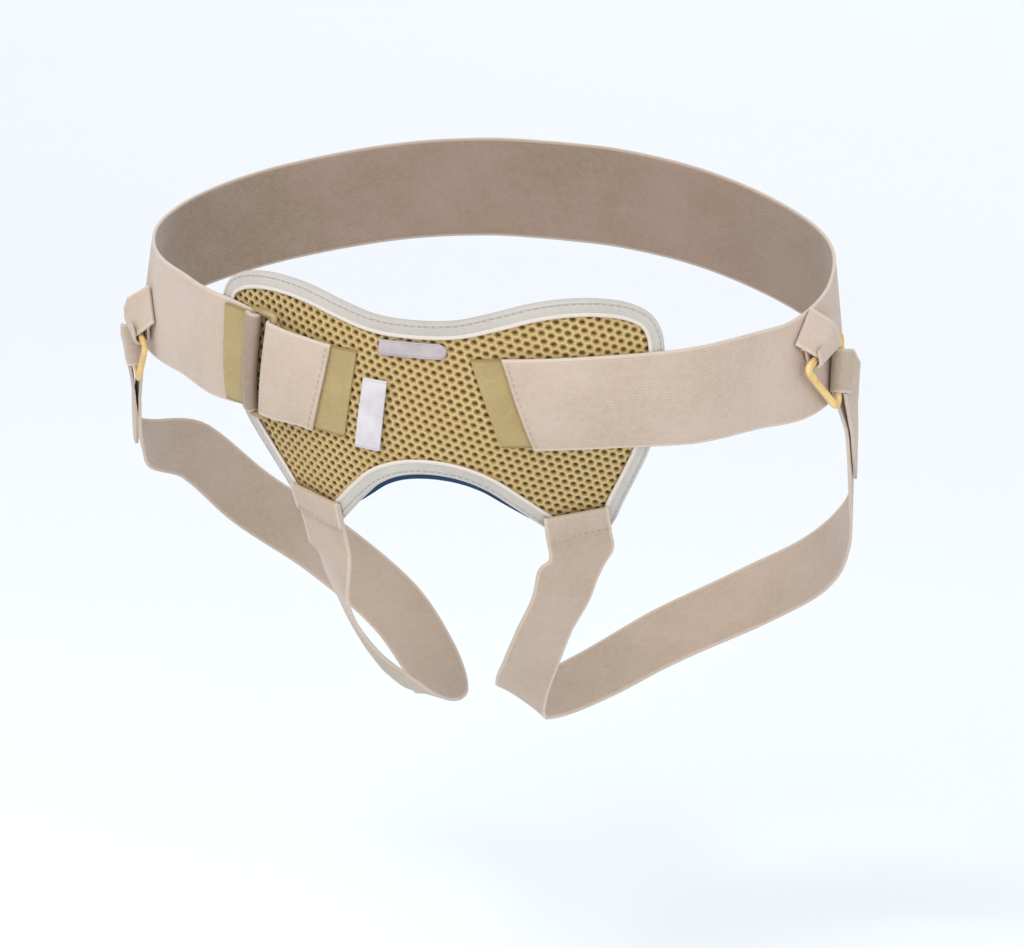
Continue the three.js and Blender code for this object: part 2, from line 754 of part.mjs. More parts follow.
// Strap through a list of stations: centre, the way its face looks, its width, and how far it is
// laid on the curve of the body instead of straight across
function stationLoops(stations, thickness) {
  const divisions = 4;
  return stations.map((station, i) => {
    const before = stations[Math.max(0, i - 1)].centre;
    const after = stations[Math.min(stations.length - 1, i + 1)].centre;
    const tangent = after.clone().sub(before).normalize();
    const face = station.face.clone().addScaledVector(tangent, -station.face.dot(tangent)).normalize();
    const square = tangent.clone().cross(face).normalize();
    const along = station.across ?? square;
    const across = along.clone().multiplyScalar(Math.sign(along.dot(square)));
    const inner = -thickness / 2;
    const outer = inner + thickness * (station.layers ?? 1);
    const corner = (share, offset) => {
      const straight = station.centre.clone()
        .addScaledVector(across, (share - 0.5) * station.width)
        .addScaledVector(face, offset);
      if (!station.hold) {
        return straight;
      }
      const sideways = (share - 0.5) * station.width;
      const level = station.centre.z - station.slope * sideways;
      const laid = onBody(station.along - sideways, level, legSeat + offset)
        .sub(onBody(station.along, station.centre.z, legSeat))
        .add(station.centre);
      return straight.lerp(laid, station.hold);
    };
    const shares = Array.from({ length: divisions + 1 }, (_, j) => j / divisions);
    return [
      ...shares.map((share) => corner(share, outer)),
      ...shares.reverse().map((share) => corner(share, inner)),
    ];
  });
}

// Smooth run of stations through a few chosen ones
function smoothStations(chosen, count) {
  const centre = new THREE.CatmullRomCurve3(chosen.map((s) => s.centre), false, 'centripetal');
  return Array.from({ length: count + 1 }, (_, i) => {
    const t = i / count;
    const place = t * (chosen.length - 1);
    const k = Math.min(chosen.length - 2, Math.floor(place));
    const share = place - k;
    return {
      centre: centre.getPoint(t),
      face: chosen[k].face.clone().lerp(chosen[k + 1].face, share).normalize(),
      width: THREE.MathUtils.lerp(chosen[k].width, chosen[k + 1].width, share),
    };
  });
}

function bodyStation(along, height, offset, width) {
  const centre = onBody(along, height, offset);
  return { centre, face: onBody(along, height, offset + 1).sub(centre), width };
}

// Distance from the middle of the triangular ring to the middle line of its bar
const ringApothem = hipRing.side / (2 * Math.sqrt(3)) - hipRing.bar / 2;

// Turn of a strap round one side of the triangular ring, from under the bar to over it
function patchTurn(patch, sideAngle, width) {
  const steps = 6;
  const pastBar = 5.5;
  const direction = new THREE.Vector2(Math.cos(rad(sideAngle)), Math.sin(rad(sideAngle)));
  const across = onPatch(patch, -direction.y, direction.x, 0).sub(patch.origin);
  const middle = onPatch(patch, direction.x * ringApothem, direction.y * ringApothem, hipRingOffset);
  const station = (inwards, lift) => {
    const reach = ringApothem - inwards;
    return onPatch(patch, direction.x * reach, direction.y * reach, hipRingOffset + lift);
  };
  const round = Array.from({ length: steps + 1 }, (_, i) => {
    const angle = Math.PI * (i / steps) - Math.PI / 2;
    const centre = station(turnRadius * Math.cos(angle), turnRadius * Math.sin(angle));
    return { centre, face: centre.clone().sub(middle).normalize(), width, across };
  });
  const under = { ...round[0], centre: station(-pastBar, -turnRadius) };
  const over = { ...round[steps], centre: station(-pastBar, turnRadius) };
  return [under, ...round, over];
}

function mirrored(stations, side) {
  return stations.map((s) => ({
    ...s,
    centre: new THREE.Vector3(s.centre.x * side, s.centre.y, s.centre.z),
    face: new THREE.Vector3(s.face.x * side, s.face.y, s.face.z),
    across: s.across && new THREE.Vector3(s.across.x * side, s.across.y, s.across.z),
  }));
}

// Last stretch of a leg strap: how far behind the ring's middle and below it each station lies,
// with its width, and its lift above the waist strap
const rearRows = [
  { behind: 38, below: 58, lift: 0, width: turnedEnd.width + 2 },
  { behind: 31, below: 30, lift: 0.6, width: turnedEnd.width + 1 },
];
const turnedRows = [
  { behind: 32, below: 31, lift: 3, width: turnedEnd.width + 1 },
  { behind: 37, below: 47, lift: 2.3, width: turnedEnd.width + 1 },
  { behind: 40, below: 61, lift: 2.2, width: turnedEnd.tip },
];

function makeLegStrap(name, side) {
  const patch = sidePatch(side);
  const { topAlong, topHeight, topWidth, hem, width, drop } = legStrap;
  const onTip = (level) => {
    const along = panelAlong(side * topAlong, level);
    return mirrored([bodyStation(along, level, legSeat, topWidth)], side)[0];
  };
  const top = [onTip(topHeight), onTip(topHeight - hem), onTip(topHeight - 2 * hem)];
  // The shifted strap on the wearer's left starts further back round the hips than the other
  const shiftDepth = 0.11;
  const middle = legRows.map((row) => ({
    centre: new THREE.Vector3(
      (row.side - (side > 0 ? row.inwards : 0)) * hip.halfWidth
        + side * row.shifted * panelAlong(0, topHeight),
      (row.depth + side * row.shifted * shiftDepth) * hip.frontDepth,
      -row.drop * drop,
    ),
    face: new THREE.Vector3(
      row.faceX + (side > 0 ? row.twist : 0),
      row.faceY,
      row.faceZ,
    ).normalize(),
    width: width * row.width,
  }));
  const overStrap = layerGap + strap.thickness + layerGap + legStrap.thickness / 2;
  const onHip = (row) => bodyStation(
    patch.along + row.behind,
    patch.level - row.below,
    overStrap + row.lift,
    row.width,
  );
  const turn = patchTurn(patch, hipRing.turn - thirdTurn, turnedEnd.width);
  const underTurn = { ...turn[0], face: turn[0].face.clone().negate() };
  const upCount = 42;
  const downCount = 7;
  const up = smoothStations([...top, ...middle, ...rearRows.map(onHip), underTurn], upCount);
  const down = smoothStations([turn[turn.length - 1], ...turnedRows.map(onHip)], downCount);
  const hemStations = 3;
  const leaving = -topHeight + 2 * hem;
  const leaveOver = 2;
  const face = [
    ...up.slice(0, -1).map((s, i) => ({
      ...s,
      layers: i < hemStations ? legStrap.hemLayers : 1,
      slope: side * legStrap.hemSlope,
      along: panelAlong(side * topAlong, s.centre.z),
      hold: i < upCount / 2
        ? 1 - THREE.MathUtils.smoothstep(-s.centre.z, leaving, leaving + leaveOver * hem)
        : 0,
    })),
    ...[...turn, ...down.slice(1)].map((s) => ({ ...s, face: s.face.clone().negate() })),
  ];
  addPiece(name, loftLoops(stationLoops(mirrored(face, side), legStrap.thickness)), elastic);
}

// Triangular ring with rounded corners, flat on the side of the hips
function makeHipRing(name, side) {
  const patch = sidePatch(side);
  const reach = hipRing.side / Math.sqrt(3);
  const corner = (r, i) => {
    const angle = rad(hipRing.turn + thirdTurn / 2 + thirdTurn * i);
    return new THREE.Vector2(r * Math.cos(angle), r * Math.sin(angle));
  };
  const outline = (r, round, Path) => {
    const path = new Path();
    for (let i = 0; i < 3; i += 1) {
      const here = corner(r, i);
      const before = here.clone().lerp(corner(r, i + 2), round);
      const after = here.clone().lerp(corner(r, i + 1), round);
      if (i === 0) {
        path.moveTo(before.x, before.y);
      } else {
        path.lineTo(before.x, before.y);
      }
      path.quadraticCurveTo(here.x, here.y, after.x, after.y);
    }
    path.closePath();
    return path;
  };
  const shape = outline(reach, hipRing.outerRound, THREE.Shape);
  shape.holes.push(outline(reach - 2 * hipRing.bar, hipRing.innerRound, THREE.Path));
  let geometry = new THREE.ExtrudeGeometry(shape, {
    depth: hipRing.thickness,
    bevelEnabled: false,
    curveSegments: 4,
  });
  geometry.deleteAttribute('normal');
  geometry.deleteAttribute('uv');
  geometry = mergeVertices(geometry, 0.001);
  const position = geometry.attributes.position;
  for (let i = 0; i < position.count; i += 1) {
    const offset = hipRingOffset - hipRing.thickness / 2 + position.getZ(i);
    const p = onPatch(patch, position.getX(i), position.getY(i), offset);
    position.setXYZ(i, p.x * side, p.y, p.z);
  }
  addPiece(name, facingOut(geometry), goldPlastic);
}

// Short doubled strap that holds the triangular ring, sewn on the waist strap
function makeHanger(name, side) {
  const patch = sidePatch(side);
  const turn = patchTurn(patch, hipRing.turn, hanger.width);
  const direction = new THREE.Vector2(
    Math.cos(rad(hipRing.turn + hanger.lean)),
    Math.sin(rad(hipRing.turn + hanger.lean)),
  );
  const returnReach = ringApothem + hanger.returned;
  const returned = {
    ...turn[0],
    centre: onPatch(
      patch,
      direction.x * returnReach,
      direction.y * returnReach,
      hipRingOffset - turnRadius,
    ),
  };
  const endReach = ringApothem + hanger.length;
  const seat = layerGap + strap.thickness + layerGap + legStrap.thickness / 2;
  const end = bodyStation(
    patch.along + direction.x * endReach,
    patch.level + direction.y * endReach,
    seat,
    hanger.width,
  );
  const downCount = 4;
  const down = smoothStations([turn[turn.length - 1], end], downCount).slice(1);
  const stations = [returned, ...turn, ...down];
  addPiece(name, loftLoops(stationLoops(mirrored(stations, side), legStrap.thickness)), elastic);
}

makePanel();
makeLining();
makeBinding();
makeWaistStrap();
makeFoldHookTab();
makeStrapRing();
makeFrontStrap();
makeHookTab('hook_tab_left', leftEnd.along, 1, strap.endSlant);
makeHookTab('hook_tab_right', rightEnd.along, -1, hookTape.nearSlant);
makePullLabel();
makeCentreLabel();
for (const side of [{ name: 'left', sign: 1 }, { name: 'right', sign: -1 }]) {
  makeLegStrap(`leg_strap_${side.name}`, side.sign);
  makeHipRing(`hip_ring_${side.name}`, side.sign);
  makeHanger(`ring_hanger_${side.name}`, side.sign);
}

export default object;
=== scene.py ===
import math

import bmesh
import bpy
import numpy as np
from mathutils import Matrix, Vector


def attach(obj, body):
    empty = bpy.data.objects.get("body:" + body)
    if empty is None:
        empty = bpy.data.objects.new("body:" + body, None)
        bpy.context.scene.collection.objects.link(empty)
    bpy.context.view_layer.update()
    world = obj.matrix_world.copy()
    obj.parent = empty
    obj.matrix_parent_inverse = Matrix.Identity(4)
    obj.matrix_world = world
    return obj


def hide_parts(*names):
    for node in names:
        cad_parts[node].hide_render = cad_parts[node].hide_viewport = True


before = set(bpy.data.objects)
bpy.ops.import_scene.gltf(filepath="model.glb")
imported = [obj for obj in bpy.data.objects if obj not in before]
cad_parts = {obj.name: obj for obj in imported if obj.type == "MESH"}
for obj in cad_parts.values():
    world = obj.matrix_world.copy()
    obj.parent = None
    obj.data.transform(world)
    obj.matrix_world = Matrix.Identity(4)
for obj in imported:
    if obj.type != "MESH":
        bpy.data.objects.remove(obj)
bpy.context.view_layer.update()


# The hips that the belt closes round.
# The belt has no stiff part of its own, so every piece is cut flat and then worn round one form.
# That form is an oval that is squarer behind, draws in at the groin, and is given in millimetres.
HIPS = {
    "half_width": 176,
    "front_depth": 135,
    "back_depth": 108,
    "front_squareness": 1.85,
    "back_squareness": 2.2,
    "row_height": 100,
}
HIP_ROWS = {
    "level": (-1.2, -0.7, -0.35, 0.0, 0.6, 1.2),
    "width": (1.03, 1.03, 1.02, 1.0, 0.955, 0.9),
    "front": (0.75, 0.87, 0.94, 0.99, 1.01, 0.97),
    "back": (1.0, 1.03, 1.02, 1.0, 0.95, 0.88),
}
GROIN = {"depth": 50, "inner": 5, "outer": 120, "top": 15, "low": 110, "fade": 60}
GIRTH_STEPS = 720
GAP = 0.3
MM = 0.001


def smooth_step(value, low, high):
    share = np.clip((value - low) / (high - low), 0, 1)
    return share * share * (3 - 2 * share)


def smooth_column(table, key, column, at):
    """Smooth value of one column of a table whose key column rises."""
    x, y = np.array(table[key], float), np.array(table[column], float)
    slope = np.gradient(y)
    slope[1:-1] = (y[2:] - y[:-2]) / (x[2:] - x[:-2])
    slope[0] = (y[1] - y[0]) / (x[1] - x[0])
    slope[-1] = (y[-1] - y[-2]) / (x[-1] - x[-2])
    place = np.clip(at, x[0], x[-1])
    i = np.clip(np.searchsorted(x, place) - 1, 0, len(x) - 2)
    span = x[i + 1] - x[i]
    t = (place - x[i]) / span
    start = (1 + 2 * t) * (1 - t) ** 2 * y[i] + t * (1 - t) ** 2 * span * slope[i]
    end = t**2 * (3 - 2 * t) * y[i + 1] - t**2 * (1 - t) * span * slope[i + 1]
    return start + end


def skin(angle, level):
    """Points of the hips at angles from the front, positive to the wearer's left, and at levels."""
    angle, level = np.broadcast_arrays(np.asarray(angle, float), np.asarray(level, float))
    row = level / HIPS["row_height"]
    in_front = np.cos(angle) > 0
    half_width = HIPS["half_width"] * smooth_column(HIP_ROWS, "level", "width", row)
    depth = np.where(
        in_front,
        HIPS["front_depth"] * smooth_column(HIP_ROWS, "level", "front", row),
        HIPS["back_depth"] * smooth_column(HIP_ROWS, "level", "back", row),
    )
    power = np.where(in_front, HIPS["front_squareness"], HIPS["back_squareness"])
    across = np.abs(np.sin(angle) / half_width) ** power
    along = np.abs(np.cos(angle) / depth) ** power
    radius = (across + along) ** (-1 / power)
    x, y = radius * np.sin(angle), -radius * np.cos(angle)
    sideways = smooth_step(np.abs(x), GROIN["inner"], GROIN["outer"])
    down = smooth_step(-level, -GROIN["top"], GROIN["low"])
    near_front = np.clip(-y / GROIN["fade"], 0, 1)
    return np.stack([x, y + GROIN["depth"] * sideways * down * near_front, level], -1)


def unit(vectors):
    return vectors / np.linalg.norm(vectors, axis=-1, keepdims=True)


def off_skin(angle, level, offset):
    turn, rise = 0.002, 0.5
    round_it = skin(angle + turn, level) - skin(angle - turn, level)
    up = skin(angle, level + rise) - skin(angle, level - rise)
    return skin(angle, level) + unit(np.cross(round_it, up)) * np.asarray(offset, float)[..., None]


girth_points = skin(np.linspace(0, 2 * np.pi, GIRTH_STEPS + 1), 0)
girth_table = np.concatenate(
    [[0], np.cumsum(np.linalg.norm(np.diff(girth_points, axis=0), axis=1))]
)
GIRTH = girth_table[-1]


def angle_at(along):
    turns = np.floor(along / GIRTH)
    steps = np.interp(along - turns * GIRTH, girth_table, np.arange(GIRTH_STEPS + 1))
    return 2 * np.pi * (turns + steps / GIRTH_STEPS)


def on_body(along, level, offset):
    """Flat pattern to body: length round the hips, level, and distance off the skin."""
    along, level, offset = np.broadcast_arrays(*(np.asarray(v, float) for v in (along, level, offset)))
    return off_skin(angle_at(along), level, offset)


# Front panel.
# A pad of spacer mesh: a knitted face of hexagonal holes over a deeper knit, 3.5 mm thick; the deeper knit's
# dark colour is partly its own and partly painted shade.
# Two lobes stand above, an arch is cut out below, and the leg straps leave from its two lower tips.
PANEL = {
    "half_width": 105,
    "height": 120,
    "thickness": 3.5,
    "shift": 13.5,
    "lean": 0.1,
    "pull": 9,
    "pull_low": -60,
    "pull_high": 30,
    "flat": (0.21, 0.122),
    "flat_area": 0.0206,
}
LINING = {"thickness": 1.0, "reveal": 4.6, "inset": 3, "aside": 7}
TAPE = {"thickness": 0.8, "width": 8}
PANEL_ROWS = {
    "across": (0, 0.17, 0.325, 0.45, 0.57, 0.72, 0.86, 0.95, 0.992, 1, 0.975, 0.94, 0.885, 0.82,
               0.765, 0.685, 0.57, 0.465, 0.325, 0.235, 0.13, 0),
    "up": (0.33, 0.34, 0.378, 0.413, 0.434, 0.44, 0.42, 0.376, 0.31, 0.22, 0, -0.15, -0.27, -0.39,
           -0.49, -0.575, -0.575, -0.507, -0.4, -0.338, -0.298, -0.283),
}
LINING_BASE = GAP
BACK_TAPE_BASE = LINING_BASE + LINING["thickness"] + GAP
PANEL_BASE = BACK_TAPE_BASE + TAPE["thickness"] + GAP
FRONT_TAPE_BASE = PANEL_BASE + PANEL["thickness"] + GAP
PANEL_CENTRE = (0, 15)
NET = {
    "pitch": 4.0,
    "lean": 11,
    "hole": 0.21,
    "stretch": 1.2,
    "edge_cover": 3.2,
    "depth": 0.85,
    "wall": 0.55,
}


def through(points, places, closed=False):
    """Smooth line through points, at places counted from the first of them."""
    points, places = np.asarray(points, float), np.asarray(places, float)
    count = len(points)
    i = np.floor(places).astype(int)
    if closed:
        near = [points[(i + k) % count] for k in (-1, 0, 1, 2)]
    else:
        i = np.clip(i, 0, count - 2)
        padded = np.vstack([2 * points[0] - points[1], points, 2 * points[-1] - points[-2]])
        near = [padded[i + k] for k in range(4)]
    t = (places - i)[:, None]
    step = [near[k + 1] - near[k] for k in range(3)]
    gap = [np.maximum(np.linalg.norm(s, axis=1), 1e-6)[:, None] ** 0.5 for s in step]
    leave = step[0] / gap[0] - (near[2] - near[0]) / (gap[0] + gap[1]) + step[1] / gap[1]
    reach = step[1] / gap[1] - (near[3] - near[1]) / (gap[1] + gap[2]) + step[2] / gap[2]
    leave, reach = leave * gap[1], reach * gap[1]
    bend = -3 * near[1] + 3 * near[2] - 2 * leave - reach
    twist = 2 * near[1] - 2 * near[2] + leave + reach
    return near[1] + leave * t + bend * t**2 + twist * t**3


def evenly(line, count, closed=False):
    """The same line with its points evenly spaced."""
    if closed:
        line = np.vstack([line, line[:1]])
    length = np.concatenate([[0], np.cumsum(np.linalg.norm(np.diff(line, axis=0), axis=1))])
    at = np.linspace(0, length[-1], count, endpoint=not closed)
    return np.stack([np.interp(at, length, line[:, k]) for k in range(line.shape[1])], 1)


def panel_outline(inward, count):
    """Outline of the panel in its flat pattern, moved inwards by an amount at each point."""
    half = np.stack([
        np.array(PANEL_ROWS["across"]) * PANEL["half_width"],
        np.array(PANEL_ROWS["up"]) * PANEL["height"],
    ], 1)
    rows = np.vstack([half, half[1:-1][::-1] * (-1, 1)])
    fine = 30
    line = through(rows, np.arange(len(rows) * fine) / fine, closed=True)
    line = evenly(line, count, closed=True)
    ahead = unit(np.roll(line, -1, 0) - np.roll(line, 1, 0))
    inside = np.stack([ahead[:, 1], -ahead[:, 0]], 1)
    return line + inside * np.broadcast_to(inward(line), (count,))[:, None]


def panel_along(across, level):
    """Place round the hips of a point of the panel: it sits to the wearer's left and leans that
    way, and the stretched strap pulls its upper lobe there further round."""
    pulled = smooth_step(across, 0, PANEL["half_width"])
    pulled = pulled * smooth_step(level, PANEL["pull_low"], PANEL["pull_high"])
    return across + PANEL["shift"] - PANEL["lean"] * level + PANEL["pull"] * pulled


def panel_place(flat, offset):
    return on_body(panel_along(flat[:, 0], flat[:, 1]), flat[:, 1], offset)


def colour(code):
    """Colour as a shader takes it, from the usual six letters and digits."""
    parts = [int(code[i:i + 2], 16) / 255 for i in (0, 2, 4)]
    return (*(p / 12.92 if p <= 0.04045 else ((p + 0.055) / 1.055) ** 2.4 for p in parts), 1)


def add(tree, kind, settings=None, **inputs):
    """Adds a shader node; an input takes a value or another node's output."""
    node = tree.nodes.new("ShaderNode" + kind)
    for name, value in (settings or {}).items():
        setattr(node, name, value)
    for name, value in inputs.items():
        join(tree, node.inputs[name.replace("_", " ")], value)
    return node


def join(tree, socket, value):
    if isinstance(value, bpy.types.NodeSocket):
        tree.links.new(value, socket)
    else:
        socket.default_value = value


def calc(tree, operation, *values):
    node = add(tree, "Math", {"operation": operation})
    for i, value in enumerate(values):
        join(tree, node.inputs[i], value)
    return node.outputs[0]


def mixed(tree, factor, first, second):
    """Mix of two colours."""
    node = add(tree, "Mix", {"data_type": "RGBA"})
    join(tree, node.inputs[0], factor)
    join(tree, node.inputs[6], first)
    join(tree, node.inputs[7], second)
    return node.outputs[2]


def ranged(tree, value, low, high, to_low=0.0, to_high=1.0):
    node = add(tree, "MapRange", {"interpolation_type": "SMOOTHSTEP"}, Value=value, From_Min=low,
               From_Max=high, To_Min=to_low, To_Max=to_high)
    return node.outputs[0]


def group(name, inputs, outputs):
    """New node group with named inputs and outputs, and its two end nodes."""
    tree = bpy.data.node_groups.new(name, "ShaderNodeTree")
    for label, kind in inputs.items():
        tree.interface.new_socket(label, in_out="INPUT", socket_type="NodeSocket" + kind)
    for label, kind in outputs.items():
        tree.interface.new_socket(label, in_out="OUTPUT", socket_type="NodeSocket" + kind)
    return tree, tree.nodes.new("NodeGroupInput").outputs, tree.nodes.new("NodeGroupOutput").inputs


def use(tree, shared, **inputs):
    node = tree.nodes.new("ShaderNodeGroup")
    node.node_tree = shared
    for name, value in inputs.items():
        join(tree, node.inputs[name.replace("_", " ")], value)
    return node.outputs


def material(name, paint):
    """New material; paint(tree, shader) links its Principled shader."""
    made = bpy.data.materials.new(name)
    made.use_nodes = True
    tree = made.node_tree
    paint(tree, tree.nodes["Principled BSDF"])
    return made


def bumped(tree, shader, height, distance):
    """Bump from a height of 0 to 1 that stands for a distance in metres."""
    bump = add(tree, "Bump", Strength=1.0, Distance=distance, Height=height)
    join(tree, shader.inputs["Normal"], bump.outputs["Normal"])


# Soft unevenness that all the cloth here has: broad patches of tone, small flecks and fine fuzz.
def make_unevenness():
    tree, given, out = group(
        "Cloth unevenness",
        {"Patch size": "Float", "Fleck size": "Float"},
        {"Patches": "Float", "Flecks": "Float", "Fuzz": "Float"},
    )
    place = add(tree, "TexCoord").outputs["Object"]
    for label, size, detail in (("Patches", given["Patch size"], 3.0), ("Flecks", given["Fleck size"], 4.0)):
        scale = calc(tree, "DIVIDE", 1.0, size)
        noise = add(tree, "TexNoise", Vector=place, Scale=scale, Detail=detail, Roughness=0.6)
        join(tree, out[label], ranged(tree, noise.outputs["Fac"], 0.3, 0.7))
    fuzz_scale = 3600.0
    fuzz = add(tree, "TexNoise", Vector=place, Scale=fuzz_scale, Detail=2.0, Roughness=0.7)
    join(tree, out["Fuzz"], fuzz.outputs["Fac"])
    return tree


unevenness = make_unevenness()


def dressed(obj, paint_job):
    """Gives a piece its material and the body that it rides on."""
    obj.data.materials.clear()
    obj.data.materials.append(paint_job)
    obj.data.shade_smooth()
    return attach(obj, "root")


def new_piece(name, mesh):
    obj = bpy.data.objects.new(name, mesh)
    bpy.context.scene.collection.objects.link(obj)
    return obj


def worn_grid(name, rows, columns, lay, closed=False, thickness=0.0, rounding=0.0):
    """A grid of cloth. lay(share along, share across) gives the points in mm, then the flat place
    of each corner and its distance from the edge in mm. The cloth then gets its thickness."""
    bm = bmesh.new()
    bmesh.ops.create_grid(bm, x_segments=rows, y_segments=columns, size=0.5)
    mesh = bpy.data.meshes.new(name)
    bm.to_mesh(mesh)
    bm.free()
    flat = np.empty(len(mesh.vertices) * 3, np.float32)
    mesh.vertices.foreach_get("co", flat)
    share = flat.reshape(-1, 3)[:, :2].astype(float) + 0.5
    points, pattern, edge = lay(share[:, 0], share[:, 1])
    mesh.vertices.foreach_set("co", (points * MM).astype(np.float32).ravel())
    corners = np.empty(len(mesh.loops), np.int32)
    mesh.loops.foreach_get("vertex_index", corners)
    layer = mesh.uv_layers.new(name="Flat")
    layer.data.foreach_set("uv", (pattern * MM).astype(np.float32)[corners].ravel())
    attribute = mesh.attributes.new("edge", "FLOAT", "POINT")
    attribute.data.foreach_set("value", (edge * MM).astype(np.float32))
    bm = bmesh.new()
    bm.from_mesh(mesh)
    if closed:
        bmesh.ops.remove_doubles(bm, verts=bm.verts, dist=0.01 * MM)
    bmesh.ops.recalc_face_normals(bm, faces=bm.faces)
    outward = sum(f.normal.dot(f.calc_center_median()) * f.calc_area() for f in bm.faces)
    if outward < 0:
        bmesh.ops.reverse_faces(bm, faces=bm.faces)
    bm.to_mesh(mesh)
    bm.free()
    obj = new_piece(name, mesh)
    if thickness:
        wall = obj.modifiers.new("Wall", "SOLIDIFY")
        wall.thickness = thickness * MM
        wall.offset = 0
    if rounding:
        soft = obj.modifiers.new("Rounded edges", "BEVEL")
        soft.width = rounding * MM
        soft.segments = 2
        soft.limit_method = "ANGLE"
        soft.angle_limit = math.radians(50)
    return obj


def outline_reach(outline):
    """Reach of an outline from the panel's flat centre, as a function of the direction."""
    from_centre = outline - PANEL_CENTRE
    direction = np.arctan2(from_centre[:, 1], from_centre[:, 0])
    order = np.argsort(direction)
    reach = np.linalg.norm(from_centre, axis=1)
    return lambda at: np.interp(at, direction[order], reach[order], period=2 * np.pi)


def panel_layer(name, inward, middle, thickness, rounding):
    """A layer cut to the panel's outline: a square grid pushed out to the outline."""
    reach = outline_reach(panel_outline(inward, 1200))
    steps = 96

    def lay(share_x, share_y):
        x, y = 2 * share_x - 1, 2 * share_y - 1
        out = np.maximum(np.abs(x), np.abs(y))
        direction = np.arctan2(y, x)
        full = reach(direction)
        flat = np.stack([np.cos(direction), np.sin(direction)], 1) * (out * full)[:, None] + PANEL_CENTRE
        return panel_place(flat, middle), flat, (1 - out) * full

    return worn_grid(name, steps, steps, lay, thickness=thickness, rounding=rounding)


# The deeper knit that shows through the holes: its dark colour is partly its own tone and partly painted
# shade for the holes
def paint_deep_knit(tree, shader):
    soft = use(tree, unevenness, Patch_size=0.03, Fleck_size=0.0016)
    place = add(tree, "UVMap", {"uv_map": "Flat"}).outputs["UV"]
    strands = add(tree, "TexWave", {"wave_type": "BANDS", "bands_direction": "DIAGONAL"},
                  Vector=place, Scale=420.0, Distortion=2.0, Detail=2.0)
    tone = mixed(tree, strands.outputs["Fac"], colour("75592c"), colour("9d8047"))
    tone = mixed(tree, calc(tree, "MULTIPLY", soft["Flecks"], 0.5), tone, colour("7c6132"))
    join(tree, shader.inputs["Base Color"], tone)
    shader.inputs["Roughness"].default_value = 0.95
    bumped(tree, shader, strands.outputs["Fac"], 0.0004)


pad_cover = TAPE["thickness"] + 4 * GAP
pad_depth = 2.0
deep_knit = panel_layer(
    "panel_deep_knit",
    lambda line: np.full(len(line), pad_cover),
    PANEL_BASE + pad_depth / 2,
    pad_depth,
    0.4,
)
dressed(deep_knit, material("Deep knit", paint_deep_knit))


